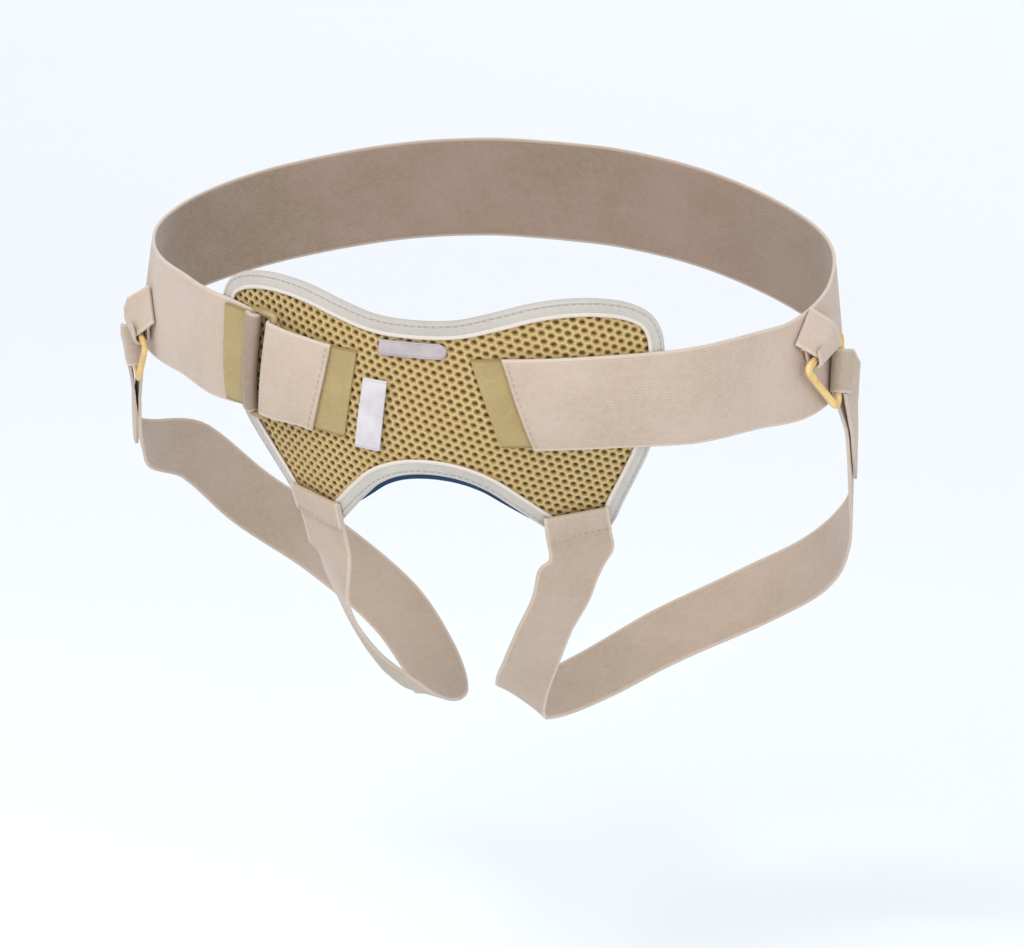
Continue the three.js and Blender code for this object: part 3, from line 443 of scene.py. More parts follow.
def make_net(name):
    """Knitted face: hexagonal cells in a lattice, each with a round hole, sunk towards the hole."""
    outline = panel_outline(lambda line: np.full(len(line), NET["edge_cover"]), 600)
    reach = outline_reach(outline)
    pitch, lean = NET["pitch"], math.radians(NET["lean"])
    first = np.array([math.sin(lean), -math.cos(lean)]) * pitch
    turned = lean + math.radians(60)
    second = np.array([math.sin(turned), -math.cos(turned)]) * pitch
    cell_sides = 12
    corner_reach = pitch / math.sqrt(3)
    rings = (
        {"size": 1.0, "sink": 0.0},
        {"size": 0.8, "sink": 0.1},
        {"size": 0.62, "sink": 0.42},
        {"size": 0.5, "sink": 1.0},
    )
    steps = 60
    one = bpy.data.meshes.new(name + "_cell")
    # One cell: its outer loop is the hexagon with the middles of its sides, its inner loops turn round
    bm = bmesh.new()
    previous = None
    heights = bm.verts.layers.float.new("hole")
    for ring in rings:
        made = bmesh.ops.create_circle(bm, segments=cell_sides, radius=1)["verts"]
        share = (ring["size"] - rings[-1]["size"]) / (1 - rings[-1]["size"])
        hole_reach = NET["hole"] * pitch
        for vert in made:
            turn = math.atan2(vert.co.y, vert.co.x)
            at = turn + lean
            at_corner = round(turn / (2 * math.pi / cell_sides)) % 2 == 0
            outer = corner_reach if at_corner else corner_reach * math.cos(math.pi / 6)
            hole = Vector((math.cos(at) * hole_reach * NET["stretch"], math.sin(at) * hole_reach, 0))
            rim = Vector((math.cos(at) * outer, math.sin(at) * outer, 0))
            vert.co = hole.lerp(rim, share)
            vert.co.z = -ring["sink"] * NET["depth"]
            vert[heights] = share
        edges = [e for e in bm.edges if all(v in made for v in e.verts)]
        if previous:
            bmesh.ops.bridge_loops(bm, edges=previous + edges)
        previous = edges
    bm.to_mesh(one)
    bm.free()
    # The lattice repeats that cell, and leaves out those that the outline cuts off
    bm = bmesh.new()
    for i in range(-steps, steps + 1):
        for j in range(-steps, steps + 1):
            centre = first * i + second * j
            out = centre - PANEL_CENTRE
            limit = reach(math.atan2(out[1], out[0]))
            if np.linalg.norm(out) < limit:
                have = len(bm.verts)
                bm.from_mesh(one)
                bm.verts.ensure_lookup_table()
                bmesh.ops.translate(bm, verts=bm.verts[have:], vec=(*centre, 0))
    bmesh.ops.remove_doubles(bm, verts=bm.verts, dist=0.02)
    mesh = bpy.data.meshes.new(name)
    bm.to_mesh(mesh)
    bm.free()
    bpy.data.meshes.remove(one)
    flat = np.empty(len(mesh.vertices) * 3, np.float32)
    mesh.vertices.foreach_get("co", flat)
    flat = flat.reshape(-1, 3).astype(float)
    top = FRONT_TAPE_BASE - GAP - NET["wall"] / 2
    points = panel_place(flat[:, :2], top + flat[:, 2])
    mesh.vertices.foreach_set("co", (points * MM).astype(np.float32).ravel())
    corners = np.empty(len(mesh.loops), np.int32)
    mesh.loops.foreach_get("vertex_index", corners)
    layer = mesh.uv_layers.new(name="Flat")
    layer.data.foreach_set("uv", (flat[:, :2] * MM).astype(np.float32)[corners].ravel())
    bm = bmesh.new()
    bm.from_mesh(mesh)
    bmesh.ops.recalc_face_normals(bm, faces=bm.faces)
    bm.normal_update()
    if sum(f.normal.dot(f.calc_center_median()) for f in bm.faces) < 0:
        bmesh.ops.reverse_faces(bm, faces=bm.faces)
    bm.to_mesh(mesh)
    bm.free()
    obj = new_piece(name, mesh)
    wall = obj.modifiers.new("Wall", "SOLIDIFY")
    wall.thickness = NET["wall"] * MM
    wall.offset = 0
    return obj


def paint_net(tree, shader):
    soft = use(tree, unevenness, Patch_size=0.035, Fleck_size=0.0009)
    ridge = add(tree, "Attribute", {"attribute_name": "hole"}).outputs["Fac"]
    # Painted shade and highlight: the cell walls are darker down towards each hole and lighter up on the
    # ridges between holes
    tone = mixed(tree, ranged(tree, ridge, 0.0, 0.5), colour("7a6030"), colour("aa8d53"))
    tone = mixed(tree, ranged(tree, ridge, 0.4, 1.0), tone, colour("d6bd88"))
    tone = mixed(tree, calc(tree, "MULTIPLY", soft["Patches"], 0.3), tone, colour("bb9b5b"))
    tone = mixed(tree, calc(tree, "MULTIPLY", soft["Flecks"], 0.22), tone, colour("8f7439"))
    join(tree, shader.inputs["Base Color"], tone)
    shader.inputs["Roughness"].default_value = 0.8
    shader.inputs["Sheen Weight"].default_value = 0.15
    place = add(tree, "UVMap", {"uv_map": "Flat"}).outputs["UV"]
    threads = add(tree, "TexWave", {"wave_type": "BANDS", "bands_direction": "DIAGONAL"},
                  Vector=place, Scale=700.0, Distortion=6.0, Detail=2.0)
    height = calc(tree, "ADD", threads.outputs["Fac"], calc(tree, "MULTIPLY", soft["Fuzz"], 0.6))
    bumped(tree, shader, height, 0.00015)


net = make_net("panel_net")
dressed(net, material("Spacer mesh", paint_net))
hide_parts("front_panel")


# Binding.
# A woven tape folded over the raw edge of the panel and its lining, and sewn down all the way round.
# Its inner edge is a raised cord painted lighter as a highlight, and a thin seam line, a sunken groove
# painted darker as shade, runs near its outer edge.
BINDING = {"ridge": 0.45, "ridge_width": 1.6, "seam_at": 2.3, "seam_depth": 0.28, "seam_width": 0.45,
           "stations": 420}


def make_binding(name):
    outline = panel_outline(lambda line: np.zeros(len(line)), BINDING["stations"])
    inner = panel_outline(lambda line: np.ones(len(line)), BINDING["stations"])
    inside = inner - outline
    half = TAPE["thickness"] / 2
    back, front = BACK_TAPE_BASE + half, FRONT_TAPE_BASE + half
    round_edge = 1.5
    flat_run = np.linspace(TAPE["width"], round_edge, 9)
    turn = np.linspace(-np.pi / 2, np.pi / 2, 9)[1:-1]
    turned = round_edge - (round_edge - half) * np.cos(turn)
    middle, reach = (front + back) / 2, (front - back) / 2
    face = np.concatenate([
        np.linspace(round_edge, 3.2, 7),
        np.linspace(3.9, TAPE["width"] - BINDING["ridge_width"], 4),
        np.linspace(TAPE["width"] - BINDING["ridge_width"], TAPE["width"], 7)[1:],
    ])
    from_seam = (face - BINDING["seam_at"]) / BINDING["seam_width"]
    seam = np.exp(-(from_seam**2)) * BINDING["seam_depth"]
    into = np.clip((face - TAPE["width"] + BINDING["ridge_width"]) / BINDING["ridge_width"], 0, 1)
    raised = np.sin(np.pi * into ** 0.8) * BINDING["ridge"]
    inward = np.concatenate([flat_run, turned, face])
    offset = np.concatenate([
        np.full(len(flat_run), back),
        middle + reach * np.sin(turn),
        front - seam + raised,
    ])
    section = np.linspace(0, 1, len(inward))
    width = np.concatenate([[0], np.cumsum(np.hypot(np.diff(inward), np.diff(offset)))])
    length = np.linalg.norm(np.diff(np.vstack([outline, outline[:1]]), axis=0), axis=1).sum()

    def lay(share_round, share_across):
        at = np.round(share_round * BINDING["stations"]).astype(int) % BINDING["stations"]
        depth = np.interp(share_across, section, inward)
        flat = outline[at] + inside[at] * depth[:, None]
        points = panel_place(flat, np.interp(share_across, section, offset))
        across = np.interp(share_across, section, width)
        return points, np.stack([share_round * length, across], 1), depth

    tape = worn_grid(name, BINDING["stations"], len(inward) - 1, lay, closed=True,
                     thickness=TAPE["thickness"], rounding=0.2)
    return tape, width[-1], length


# Fine crossed ribs of a woven tape, from its flat places, and a mask of the grooves between the ribs for
# painted shade
def make_woven():
    tree, given, out = group(
        "Woven ribs",
        {"Rib pitch": "Float", "Pick pitch": "Float"},
        {"Height": "Float", "Groove shade": "Float"},
    )
    place = add(tree, "UVMap", {"uv_map": "Flat"}).outputs["UV"]
    parts = add(tree, "SeparateXYZ", Vector=place).outputs
    rib = calc(tree, "DIVIDE", parts["Y"], given["Rib pitch"])
    pick = calc(tree, "DIVIDE", parts["X"], given["Pick pitch"])
    odd = calc(tree, "MULTIPLY", calc(tree, "FLOOR", rib), 0.5)
    rib_wave = calc(tree, "ABSOLUTE", calc(tree, "SINE", calc(tree, "MULTIPLY", rib, math.pi)))
    pick_place = calc(tree, "MULTIPLY", calc(tree, "ADD", pick, odd), math.pi)
    pick_wave = calc(tree, "ABSOLUTE", calc(tree, "SINE", pick_place))
    height = calc(tree, "MULTIPLY", calc(tree, "POWER", rib_wave, 0.6), calc(tree, "ADD", 0.55,
                  calc(tree, "MULTIPLY", pick_wave, 0.45)))
    join(tree, out["Height"], height)
    join(tree, out["Groove shade"], ranged(tree, height, 0.05, 0.5, 1.0, 0.0))
    return tree


woven = make_woven()


def paint_tape(tree, shader):
    soft = use(tree, unevenness, Patch_size=0.04, Fleck_size=0.002)
    ribs = use(tree, woven, Rib_pitch=0.0009, Pick_pitch=0.0007)
    edge = add(tree, "Attribute", {"attribute_name": "edge"}).outputs["Fac"]
    tone = mixed(tree, soft["Patches"], colour("bfbab2"), colour("b3afa7"))
    tone = mixed(tree, calc(tree, "MULTIPLY", soft["Flecks"], 0.4), tone, colour("c8bfbc"))
    # Painted shade along the sunken seam groove
    seam = calc(tree, "MULTIPLY", ranged(tree, edge, 0.0015, 0.0023), ranged(tree, edge, 0.0031, 0.0023))
    tone = mixed(tree, calc(tree, "MULTIPLY", seam, 0.55), tone, colour("807c76"))
    # Painted highlight along the raised cord at the inner edge
    cord_highlight = ranged(tree, edge, 0.0062, 0.0068)
    tone = mixed(tree, calc(tree, "MULTIPLY", cord_highlight, 0.8), tone, colour("dfd2c6"))
    # Painted shade in the grooves between the ribs
    tone = mixed(tree, calc(tree, "MULTIPLY", ribs["Groove shade"], 0.22), tone, colour("958e87"))
    join(tree, shader.inputs["Base Color"], tone)
    shader.inputs["Roughness"].default_value = 0.72
    shader.inputs["Sheen Weight"].default_value = 0.2
    height = calc(tree, "ADD", ribs["Height"], calc(tree, "MULTIPLY", soft["Fuzz"], 0.4))
    bumped(tree, shader, height, 0.0002)


def paint_thread(light, dark):
    def paint(tree, shader):
        soft = use(tree, unevenness, Patch_size=0.01, Fleck_size=0.0006)
        tone = mixed(tree, soft["Flecks"], colour(light), colour(dark))
        join(tree, shader.inputs["Base Color"], tone)
        shader.inputs["Roughness"].default_value = 0.6
        bumped(tree, shader, soft["Fuzz"], 0.0001)
    return paint


white_thread = material("White thread", paint_thread("d6cec2", "b9b0a2"))
beige_thread = material("Beige thread", paint_thread("c0ab9a", "a18b79"))
THREAD = {"pitch": 3.1, "filled": 0.74, "radius": 0.24}


def stitches(name, line, lifted, thread):
    """Thread over a row of points in mm: one short stitch from each point to the next. The lifted
    points lie off the cloth, and give the way that it looks."""
    bm = bmesh.new()
    for i in range(len(line) - 1):
        run = line[i + 1] - line[i]
        long = unit(run)
        aside = unit(np.cross(lifted[i] - line[i], long))
        out = np.cross(long, aside)
        half = THREAD["filled"] * np.linalg.norm(run) / 2
        axes = np.stack([long * half, aside * THREAD["radius"], out * THREAD["radius"]], 1) * MM
        placed = np.eye(4)
        placed[:3, :3] = axes
        placed[:3, 3] = (line[i] + run / 2) * MM
        bmesh.ops.create_icosphere(bm, subdivisions=1, radius=1, matrix=Matrix(placed))
    mesh = bpy.data.meshes.new(name)
    bm.to_mesh(mesh)
    bm.free()
    return dressed(new_piece(name, mesh), thread)


def binding_stitches(name):
    line = panel_outline(lambda at: np.full(len(at), BINDING["seam_at"]), 1200)
    around = np.linalg.norm(np.roll(line, -1, 0) - line, axis=1).sum()
    count = round(around / THREAD["pitch"])
    line = evenly(line, count, closed=True)
    line = np.vstack([line, line[:1]])
    surface = FRONT_TAPE_BASE + TAPE["thickness"] - BINDING["seam_depth"] + THREAD["radius"] / 2
    points, lifted = panel_place(line, surface), panel_place(line, surface + 1)
    return stitches(name, points, lifted, white_thread)


binding, binding_width, binding_length = make_binding("panel_binding_tape")
dressed(binding, material("Binding tape", paint_tape))
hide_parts("panel_binding")
binding_stitches("binding_stitches")


# Lining.
# Thin dark blue cloth behind the panel, against the skin. It is caught in the binding and shows
# only as a thin line below the tape along the arch.
def lining_inward(line):
    half_arch = 0.5 * PANEL["half_width"]
    from_middle = (line[:, 0] - LINING["aside"]) / half_arch
    under_arch = (line[:, 1] < 0) & (np.abs(from_middle) < 1)
    share = np.where(under_arch, np.cos(from_middle * np.pi / 2), 0)
    reveal = LINING["inset"] + LINING["reveal"]
    return LINING["inset"] - reveal * np.maximum(share, 0) ** 0.5


def paint_lining(tree, shader):
    soft = use(tree, unevenness, Patch_size=0.03, Fleck_size=0.0015)
    ribs = use(tree, woven, Rib_pitch=0.0008, Pick_pitch=0.0008)
    tone = mixed(tree, soft["Patches"], colour("0b305a"), colour("123c69"))
    # Painted shade in the grooves between the ribs
    tone = mixed(tree, calc(tree, "MULTIPLY", ribs["Groove shade"], 0.5), tone, colour("0a2340"))
    tone = mixed(tree, calc(tree, "MULTIPLY", soft["Flecks"], 0.3), tone, colour("1c4c76"))
    join(tree, shader.inputs["Base Color"], tone)
    shader.inputs["Roughness"].default_value = 0.85
    shader.inputs["Sheen Weight"].default_value = 0.08
    bumped(tree, shader, calc(tree, "ADD", ribs["Height"], soft["Fuzz"]), 0.0002)


lining = panel_layer(
    "panel_lining",
    lining_inward,
    LINING_BASE + LINING["thickness"] / 2,
    LINING["thickness"],
    0.3,
)
dressed(lining, material("Blue lining", paint_lining))
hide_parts("back_lining")


# Waist strap.
# Knitted elastic, 52 mm wide round the hips and narrower over the panel, where it is stretched. It
# runs from the slanted end on the panel's left front round the hips to the ring and back through it.
STRAP = {"width": 52, "thickness": 1.6, "rise": 60, "end_slant": 0.3, "slant_run": 60}
STRAP_ROWS = {
    "round": (-1, -0.92, -0.82, -0.7, -0.58, -0.51, -0.4, -0.32, -0.235, -0.187, -0.152, -0.13, -0.07,
              0, 0.12, 0.2, 0.28, 0.34, 0.39, 0.435, 0.51, 0.58, 0.7, 0.82, 0.92, 1),
    "rise": (0.985, 0.972, 0.89, 0.71, 0.5, 0.395, 0.28, 0.245, 0.23, 0.213, 0.187, 0.16, 0.055,
             0.03, 0.058, 0.085, 0.105, 0.122, 0.142, 0.175, 0.325, 0.5, 0.71, 0.89, 0.972, 0.985),
    "width": (1, 1, 1, 1, 1, 1, 1, 0.99, 0.97, 0.945, 0.885, 0.84, 0.84,
              0.84, 0.83, 0.835, 0.86, 0.9, 0.925, 0.94, 0.97, 1, 1, 1, 1, 1),
}
HOOK = {"thickness": 1.2, "visible": 14, "tucked": 12, "near_slant": -0.13, "narrower": 1}
LEFT_END, RIGHT_END = 57, -33.5
RING = {"along": -66.5, "spacing": 10, "bar": 2.6, "side_clearance": 0.6, "corner": 1.9}
FOLD = {"reach": 3.8, "tab_reach": 18, "tuck": 4}
EDGE = {"margin": 4, "drop": 50}
HOOK_BASE = FRONT_TAPE_BASE
STRAP_BASE = FRONT_TAPE_BASE + TAPE["thickness"] + GAP
STRAP_ON_HOOK = max(STRAP_BASE, HOOK_BASE + HOOK["thickness"] + GAP)
RING_CENTRE = STRAP_BASE + STRAP["thickness"] + GAP + RING["bar"] / 2
OVER_BAR = RING_CENTRE + RING["bar"] / 2 + GAP
HOOK_OVER_STRAP = STRAP_BASE + STRAP["thickness"] + GAP
REAR_BAR = RING["along"] - RING["spacing"] / 2
FRONT_BAR = RING["along"] + RING["spacing"] / 2
WALL_SPARE = 0.05
ELASTIC_WALL = STRAP["thickness"] - WALL_SPARE
HOOK_WALL = HOOK["thickness"] - WALL_SPARE
STRAP_ROUNDING = 0.35
SEAM_IN = 2
SEAM_SHARE = 0.94


def round_share(along):
    """Share of half the girth from the middle of the front, from -1 to 1."""
    halves = along / (GIRTH / 2)
    return halves - 2 * np.round(halves / 2)


def strap_height(along):
    return STRAP["rise"] * smooth_column(STRAP_ROWS, "round", "rise", round_share(along))


def strap_width(along):
    return STRAP["width"] * smooth_column(STRAP_ROWS, "round", "width", round_share(along))


def strap_seat(along):
    """Layer that a strap lies on, from the panel's front down to the skin past its edge."""
    edge = PANEL["half_width"] + EDGE["margin"] + np.where(along > PANEL["shift"], PANEL["pull"], 0)
    past = smooth_step(np.abs(along - PANEL["shift"]), edge, edge + EDGE["drop"])
    return STRAP_BASE + (GAP - STRAP_BASE) * past


def on_belt(along, across, offset):
    """Belt places to body: length along the strap's middle line, distance across it, off the skin."""
    along, across, offset = np.broadcast_arrays(*(np.asarray(v, float) for v in (along, across, offset)))
    near = 4
    rise = strap_height(along + near) - strap_height(along - near)
    long = np.hypot(2 * near, rise)
    angle = angle_at(along - rise / long * across)
    level = strap_height(along)
    steps = 6
    for _ in range(steps):
        above, below = skin(angle, level + 1), skin(angle, level - 1)
        slope = (above[..., 2] - below[..., 2]) / np.linalg.norm(above - below, axis=-1)
        level = level + (2 * near / long) * across / steps * slope
    return off_skin(angle, level, offset)


def belt_piece(name, path, width, slant, thickness, columns=14):
    """A strap along a path of (length round the belt, distance off the skin) in its mid layer."""
    path = np.asarray(path, float)
    rows = len(path) - 1
    length = np.concatenate([[0], np.cumsum(np.hypot(*np.diff(path, axis=0).T))])
    widths, slants = np.broadcast_to(width, len(path)), np.broadcast_to(slant, len(path))

    def lay(share_along, share_across):
        at = np.round(share_along * rows).astype(int)
        across = (share_across - 0.5) * widths[at]
        points = on_belt(path[at, 0] - slants[at] * across, across, path[at, 1])
        edge = np.minimum(share_across, 1 - share_across) * widths[at]
        return points, np.stack([length[at], across], 1), edge

    return worn_grid(name, rows, columns, lay, thickness=thickness, rounding=STRAP_ROUNDING)


def half_turn(bar_along, facing, thickness, steps=16):
    angle = np.linspace(-np.pi / 2, np.pi / 2, steps + 1)
    radius = RING["bar"] / 2 + GAP + thickness / 2
    return np.stack([
        bar_along + facing * radius * np.cos(angle),
        RING_CENTRE + radius * np.sin(angle),
    ], 1)


def paint_elastic(light, base, fleck):
    def paint(tree, shader):
        soft = use(tree, unevenness, Patch_size=0.045, Fleck_size=0.0028)
        ribs = use(tree, woven, Rib_pitch=0.00125, Pick_pitch=0.0011)
        edge = add(tree, "Attribute", {"attribute_name": "edge"}).outputs["Fac"]
        tone = mixed(tree, soft["Patches"], colour(light), colour(base))
        tone = mixed(tree, calc(tree, "MULTIPLY", soft["Flecks"], 0.4), tone, colour(fleck))
        # Painted shade in the grooves between the ribs
        tone = mixed(tree, calc(tree, "MULTIPLY", ribs["Groove shade"], 0.14), tone, colour("917a66"))
        # Painted highlight along both long edges of the strap
        edge_highlight = ranged(tree, edge, 0.0016, 0.0008)
        tone = mixed(tree, calc(tree, "MULTIPLY", edge_highlight, 0.45), tone, colour("d8cabd"))
        join(tree, shader.inputs["Base Color"], tone)
        shader.inputs["Roughness"].default_value = 0.88
        shader.inputs["Sheen Weight"].default_value = 0.3
        shader.inputs["Sheen Roughness"].default_value = 0.4
        fuzz = calc(tree, "MULTIPLY", soft["Fuzz"], 0.5)
        height = calc(tree, "ADD", calc(tree, "MULTIPLY", ribs["Height"], 0.8), fuzz)
        height = calc(tree, "ADD", height, calc(tree, "MULTIPLY", soft["Flecks"], 0.3))
        bumped(tree, shader, height, 0.00015)
    return paint


def make_waist_strap(name):
    half = STRAP["thickness"] / 2
    spacing = 2.2
    along = np.arange(LEFT_END, GIRTH + REAR_BAR, spacing)
    signed = np.where(along > GIRTH / 2, along - GIRTH, along)
    hook_end = LEFT_END + HOOK["tucked"] + STRAP["end_slant"] * STRAP["width"]
    over_hook = 1 - smooth_step(along, hook_end, hook_end + STRAP["width"] / 3)
    seat = strap_seat(signed) + (STRAP_ON_HOOK - STRAP_BASE) * over_hook + half
    turn = half_turn(GIRTH + REAR_BAR, 1, STRAP["thickness"])
    over_end = HOOK_OVER_STRAP + HOOK["thickness"] + GAP
    back = np.linspace(0, 1, 8)[1:]
    folded = np.stack([
        GIRTH + REAR_BAR - FOLD["reach"] * back,
        OVER_BAR + (over_end - OVER_BAR) * smooth_step(back, 0, 1) + half,
    ], 1)
    path = np.vstack([np.stack([along, seat], 1), turn, folded])
    signed = np.where(path[:, 0] > GIRTH / 2, path[:, 0] - GIRTH, path[:, 0])
    width = strap_width(signed)
    width[len(along):] = strap_width(REAR_BAR)
    slant = STRAP["end_slant"] * (1 - smooth_step(path[:, 0] - LEFT_END, 0, STRAP["slant_run"]))
    length = np.hypot(*np.diff(path, axis=0).T).sum()
    return belt_piece(name, path, width, slant, ELASTIC_WALL), length


elastic = material("Knitted elastic", paint_elastic("c2aea0", "b7a38f", "c6b6a9"))
reverse = material("Elastic reverse", paint_elastic("9a8577", "8e7a66", "a08e81"))


def two_faced(obj):
    """The strap's reverse gets a darker colour, which shows where the strap is folded back."""
    obj.data.materials.append(reverse)
    obj.modifiers["Wall"].material_offset = 1


def end_stitches(name, end, inwards, slant):
    """Seam that holds the hook tape under a strap's end."""
    width = strap_width(end) * SEAM_SHARE
    across = np.linspace(-width / 2, width / 2, round(width / THREAD["pitch"]) + 1)
    along = end + inwards - slant * across
    surface = STRAP_ON_HOOK + STRAP["thickness"] + THREAD["radius"] / 3
    points, lifted = (on_belt(along, across, surface + lift) for lift in (0, 1))
    return stitches(name, points, lifted, beige_thread)


waist_strap, waist_length = make_waist_strap("waist_strap_elastic")
dressed(waist_strap, elastic)
two_faced(waist_strap)
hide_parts("waist_strap")
end_stitches("strap_end_stitches_left", LEFT_END, SEAM_IN, STRAP["end_slant"])


# Hook tapes.
# Stiff khaki tape with tiny hooks, sewn under the strap ends. It grips the mesh of the panel, or
# the strap's own face where the end is folded back through the ring.
def paint_hook(tree, shader):
    soft = use(tree, unevenness, Patch_size=0.02, Fleck_size=0.0016)
    place = add(tree, "UVMap", {"uv_map": "Flat"}).outputs["UV"]
    hooks = add(tree, "TexVoronoi", {"feature": "F1"}, Vector=place, Scale=1500.0, Randomness=0.35)
    edge = add(tree, "Attribute", {"attribute_name": "edge"}).outputs["Fac"]
    tip = ranged(tree, hooks.outputs["Distance"], 0.0, 0.6, 1.0, 0.0)
    tone = mixed(tree, soft["Patches"], colour("ad9766"), colour("a38c5b"))
    tone = mixed(tree, calc(tree, "MULTIPLY", soft["Flecks"], 0.4), tone, colour("b5a070"))
    tone = mixed(tree, calc(tree, "MULTIPLY", tip, 0.3), tone, colour("c0ab7b"))
    # Painted shade: the tape is darker along its edges
    edge_shade = ranged(tree, edge, 0.0018, 0.0006)
    tone = mixed(tree, calc(tree, "MULTIPLY", edge_shade, 0.7), tone, colour("7c673a"))
    join(tree, shader.inputs["Base Color"], tone)
    shader.inputs["Roughness"].default_value = 0.82
    shader.inputs["Sheen Weight"].default_value = 0.15
    inner_tip = calc(tree, "MULTIPLY", tip, ranged(tree, edge, 0.0008, 0.0016))
    height = calc(tree, "ADD", inner_tip, calc(tree, "MULTIPLY", soft["Fuzz"], 0.4))
    bumped(tree, shader, height, 0.00025)


hook_cloth = material("Hook tape", paint_hook)


def hook_tab(name, node, start, end, base, slant, width):
    along = np.linspace(start, end, 19)
    path = np.stack([along, np.full(len(along), base + HOOK["thickness"] / 2)], 1)
    obj = belt_piece(name, path, width, slant, HOOK_WALL, columns=24)
    dressed(obj, hook_cloth)
    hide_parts(node)


for side, end, slant, name, node in (
    (1, LEFT_END, STRAP["end_slant"], "hook_tape_left", "hook_tab_left"),
    (-1, RIGHT_END, HOOK["near_slant"], "hook_tape_right", "hook_tab_right"),
):
    hook_tab(name, node, end - side * HOOK["visible"], end + side * HOOK["tucked"], HOOK_BASE, slant,
             strap_width(end) - HOOK["narrower"])
hook_tab("hook_tape_folded", "fold_hook_tab", REAR_BAR - FOLD["tab_reach"], REAR_BAR - FOLD["tuck"],
         HOOK_OVER_STRAP, 0.0, strap_width(REAR_BAR) - HOOK["narrower"])


# Short strap at the wearer's right.
# A short length of the same elastic, looped on the ring's front bar, sewn back under itself, and
# fastened to the panel with its own hook tape.
FACE_ROWS = {"share": (0.12, 0.3, 0.5, 0.7, 0.85, 1), "lift": (1, 0.86, 0.45, 0.1, 0, 0)}


def make_front_strap(name):
    half = STRAP["thickness"] / 2
    sewn_return, return_narrower = 9, 5
    under = np.stack([
        FRONT_BAR + sewn_return * np.linspace(1, 0, 6)[:-1],
        np.full(5, STRAP_BASE + half),
    ], 1)
    turn = half_turn(FRONT_BAR, -1, STRAP["thickness"])
    share = np.linspace(0.06, 1, 26)
    lift = np.where(share < FACE_ROWS["share"][0], 1, smooth_column(FACE_ROWS, "share", "lift", share))
    face = np.stack([
        FRONT_BAR + (RIGHT_END - FRONT_BAR) * share,
        STRAP_ON_HOOK + (OVER_BAR - STRAP_ON_HOOK) * lift + half,
    ], 1)
    path = np.vstack([under, turn, face])
    slant = np.zeros(len(path))
    slant[-len(share):] = HOOK["near_slant"] * smooth_step(share, 0.3, 1)
    width = strap_width(FRONT_BAR)
    widths = np.full(len(path), width)
    widths[:len(under)] = width - return_narrower
    length = np.hypot(*np.diff(path, axis=0).T).sum()
    return belt_piece(name, path, widths, slant, ELASTIC_WALL), width, length


front_strap, front_strap_width, front_strap_length = make_front_strap("front_strap_elastic")
dressed(front_strap, elastic)
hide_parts("front_strap_right")
end_stitches("strap_end_stitches_right", RIGHT_END, -SEAM_IN, HOOK["near_slant"])


# Rectangular ring.
# A moulded khaki plastic ring, 10 mm between its long bars, with softly rounded corners. The waist
# strap turns round its rear bar, and the short strap round its front bar.
def flat_ring(name, line, half_wide, half_thick, place, squareness=2.6, sides=16):
    """A bar of rounded section carried round a closed flat line; place maps (x, y, height) to mm."""
    ahead = unit(np.roll(line, -1, 0) - np.roll(line, 1, 0))
    out = np.stack([ahead[:, 1], -ahead[:, 0]], 1)
    count = len(line)
    length = np.linalg.norm(np.roll(line, -1, 0) - line, axis=1).sum()

    def lay(share_round, share_section):
        at = np.round(share_round * count).astype(int) % count
        turn = 2 * np.pi * share_section
        power = 2 / squareness
        wide = half_wide * np.sign(np.cos(turn)) * np.abs(np.cos(turn)) ** power
        high = half_thick * np.sign(np.sin(turn)) * np.abs(np.sin(turn)) ** power
        flat = line[at] + out[at] * wide[:, None]
        points = place(flat[:, 0], flat[:, 1], high)
        return points, np.stack([share_round * length, share_section * 4 * half_wide], 1), half_wide - wide

    return worn_grid(name, count, sides, lay, closed=True)


def rounded_line(corners, radius_share, per_side=14, per_corner=8):
    """Closed line through corners that are rounded off by a share of the sides that meet there."""
    corners = np.asarray(corners, float)
    count = len(corners)
    parts = []
    for i in range(count):
        here, before, after = corners[i], corners[i - 1], corners[(i + 1) % count]
        start = here + (before - here) * radius_share[i]
        end = here + (after - here) * radius_share[(i + 1) % count]
        t = np.linspace(0, 1, per_corner)[:, None]
        parts.append((1 - t) ** 2 * start + 2 * t * (1 - t) * here + t**2 * end)
        following = after + (here - after) * radius_share[(i + 1) % count]
        run = np.linspace(0, 1, per_side)[1:-1, None]
        parts.append(end + (following - end) * run)
    return np.vstack(parts)


def paint_plastic(dark, base, light):
    def paint(tree, shader):
        place = add(tree, "TexCoord").outputs["Object"]
        cloud = add(tree, "TexNoise", Vector=place, Scale=120.0, Detail=3.0)
        grain = add(tree, "TexNoise", Vector=place, Scale=2200.0, Detail=2.0)
        edge = add(tree, "Attribute", {"attribute_name": "edge"}).outputs["Fac"]
        tone = mixed(tree, ranged(tree, cloud.outputs["Fac"], 0.35, 0.65), colour(base), colour(light))
        rub = ranged(tree, grain.outputs["Fac"], 0.55, 0.75)
        tone = mixed(tree, calc(tree, "MULTIPLY", rub, 0.25), tone, colour(dark))
        # Painted highlight: the outer side of each bar is painted lighter
        outer = ranged(tree, edge, 0.0008, 0.0)
        tone = mixed(tree, calc(tree, "MULTIPLY", outer, 0.35), tone, colour(light))
        join(tree, shader.inputs["Base Color"], tone)
        join(tree, shader.inputs["Roughness"], ranged(tree, cloud.outputs["Fac"], 0.3, 0.7, 0.32, 0.48))
        bumped(tree, shader, grain.outputs["Fac"], 0.00006)
    return paint


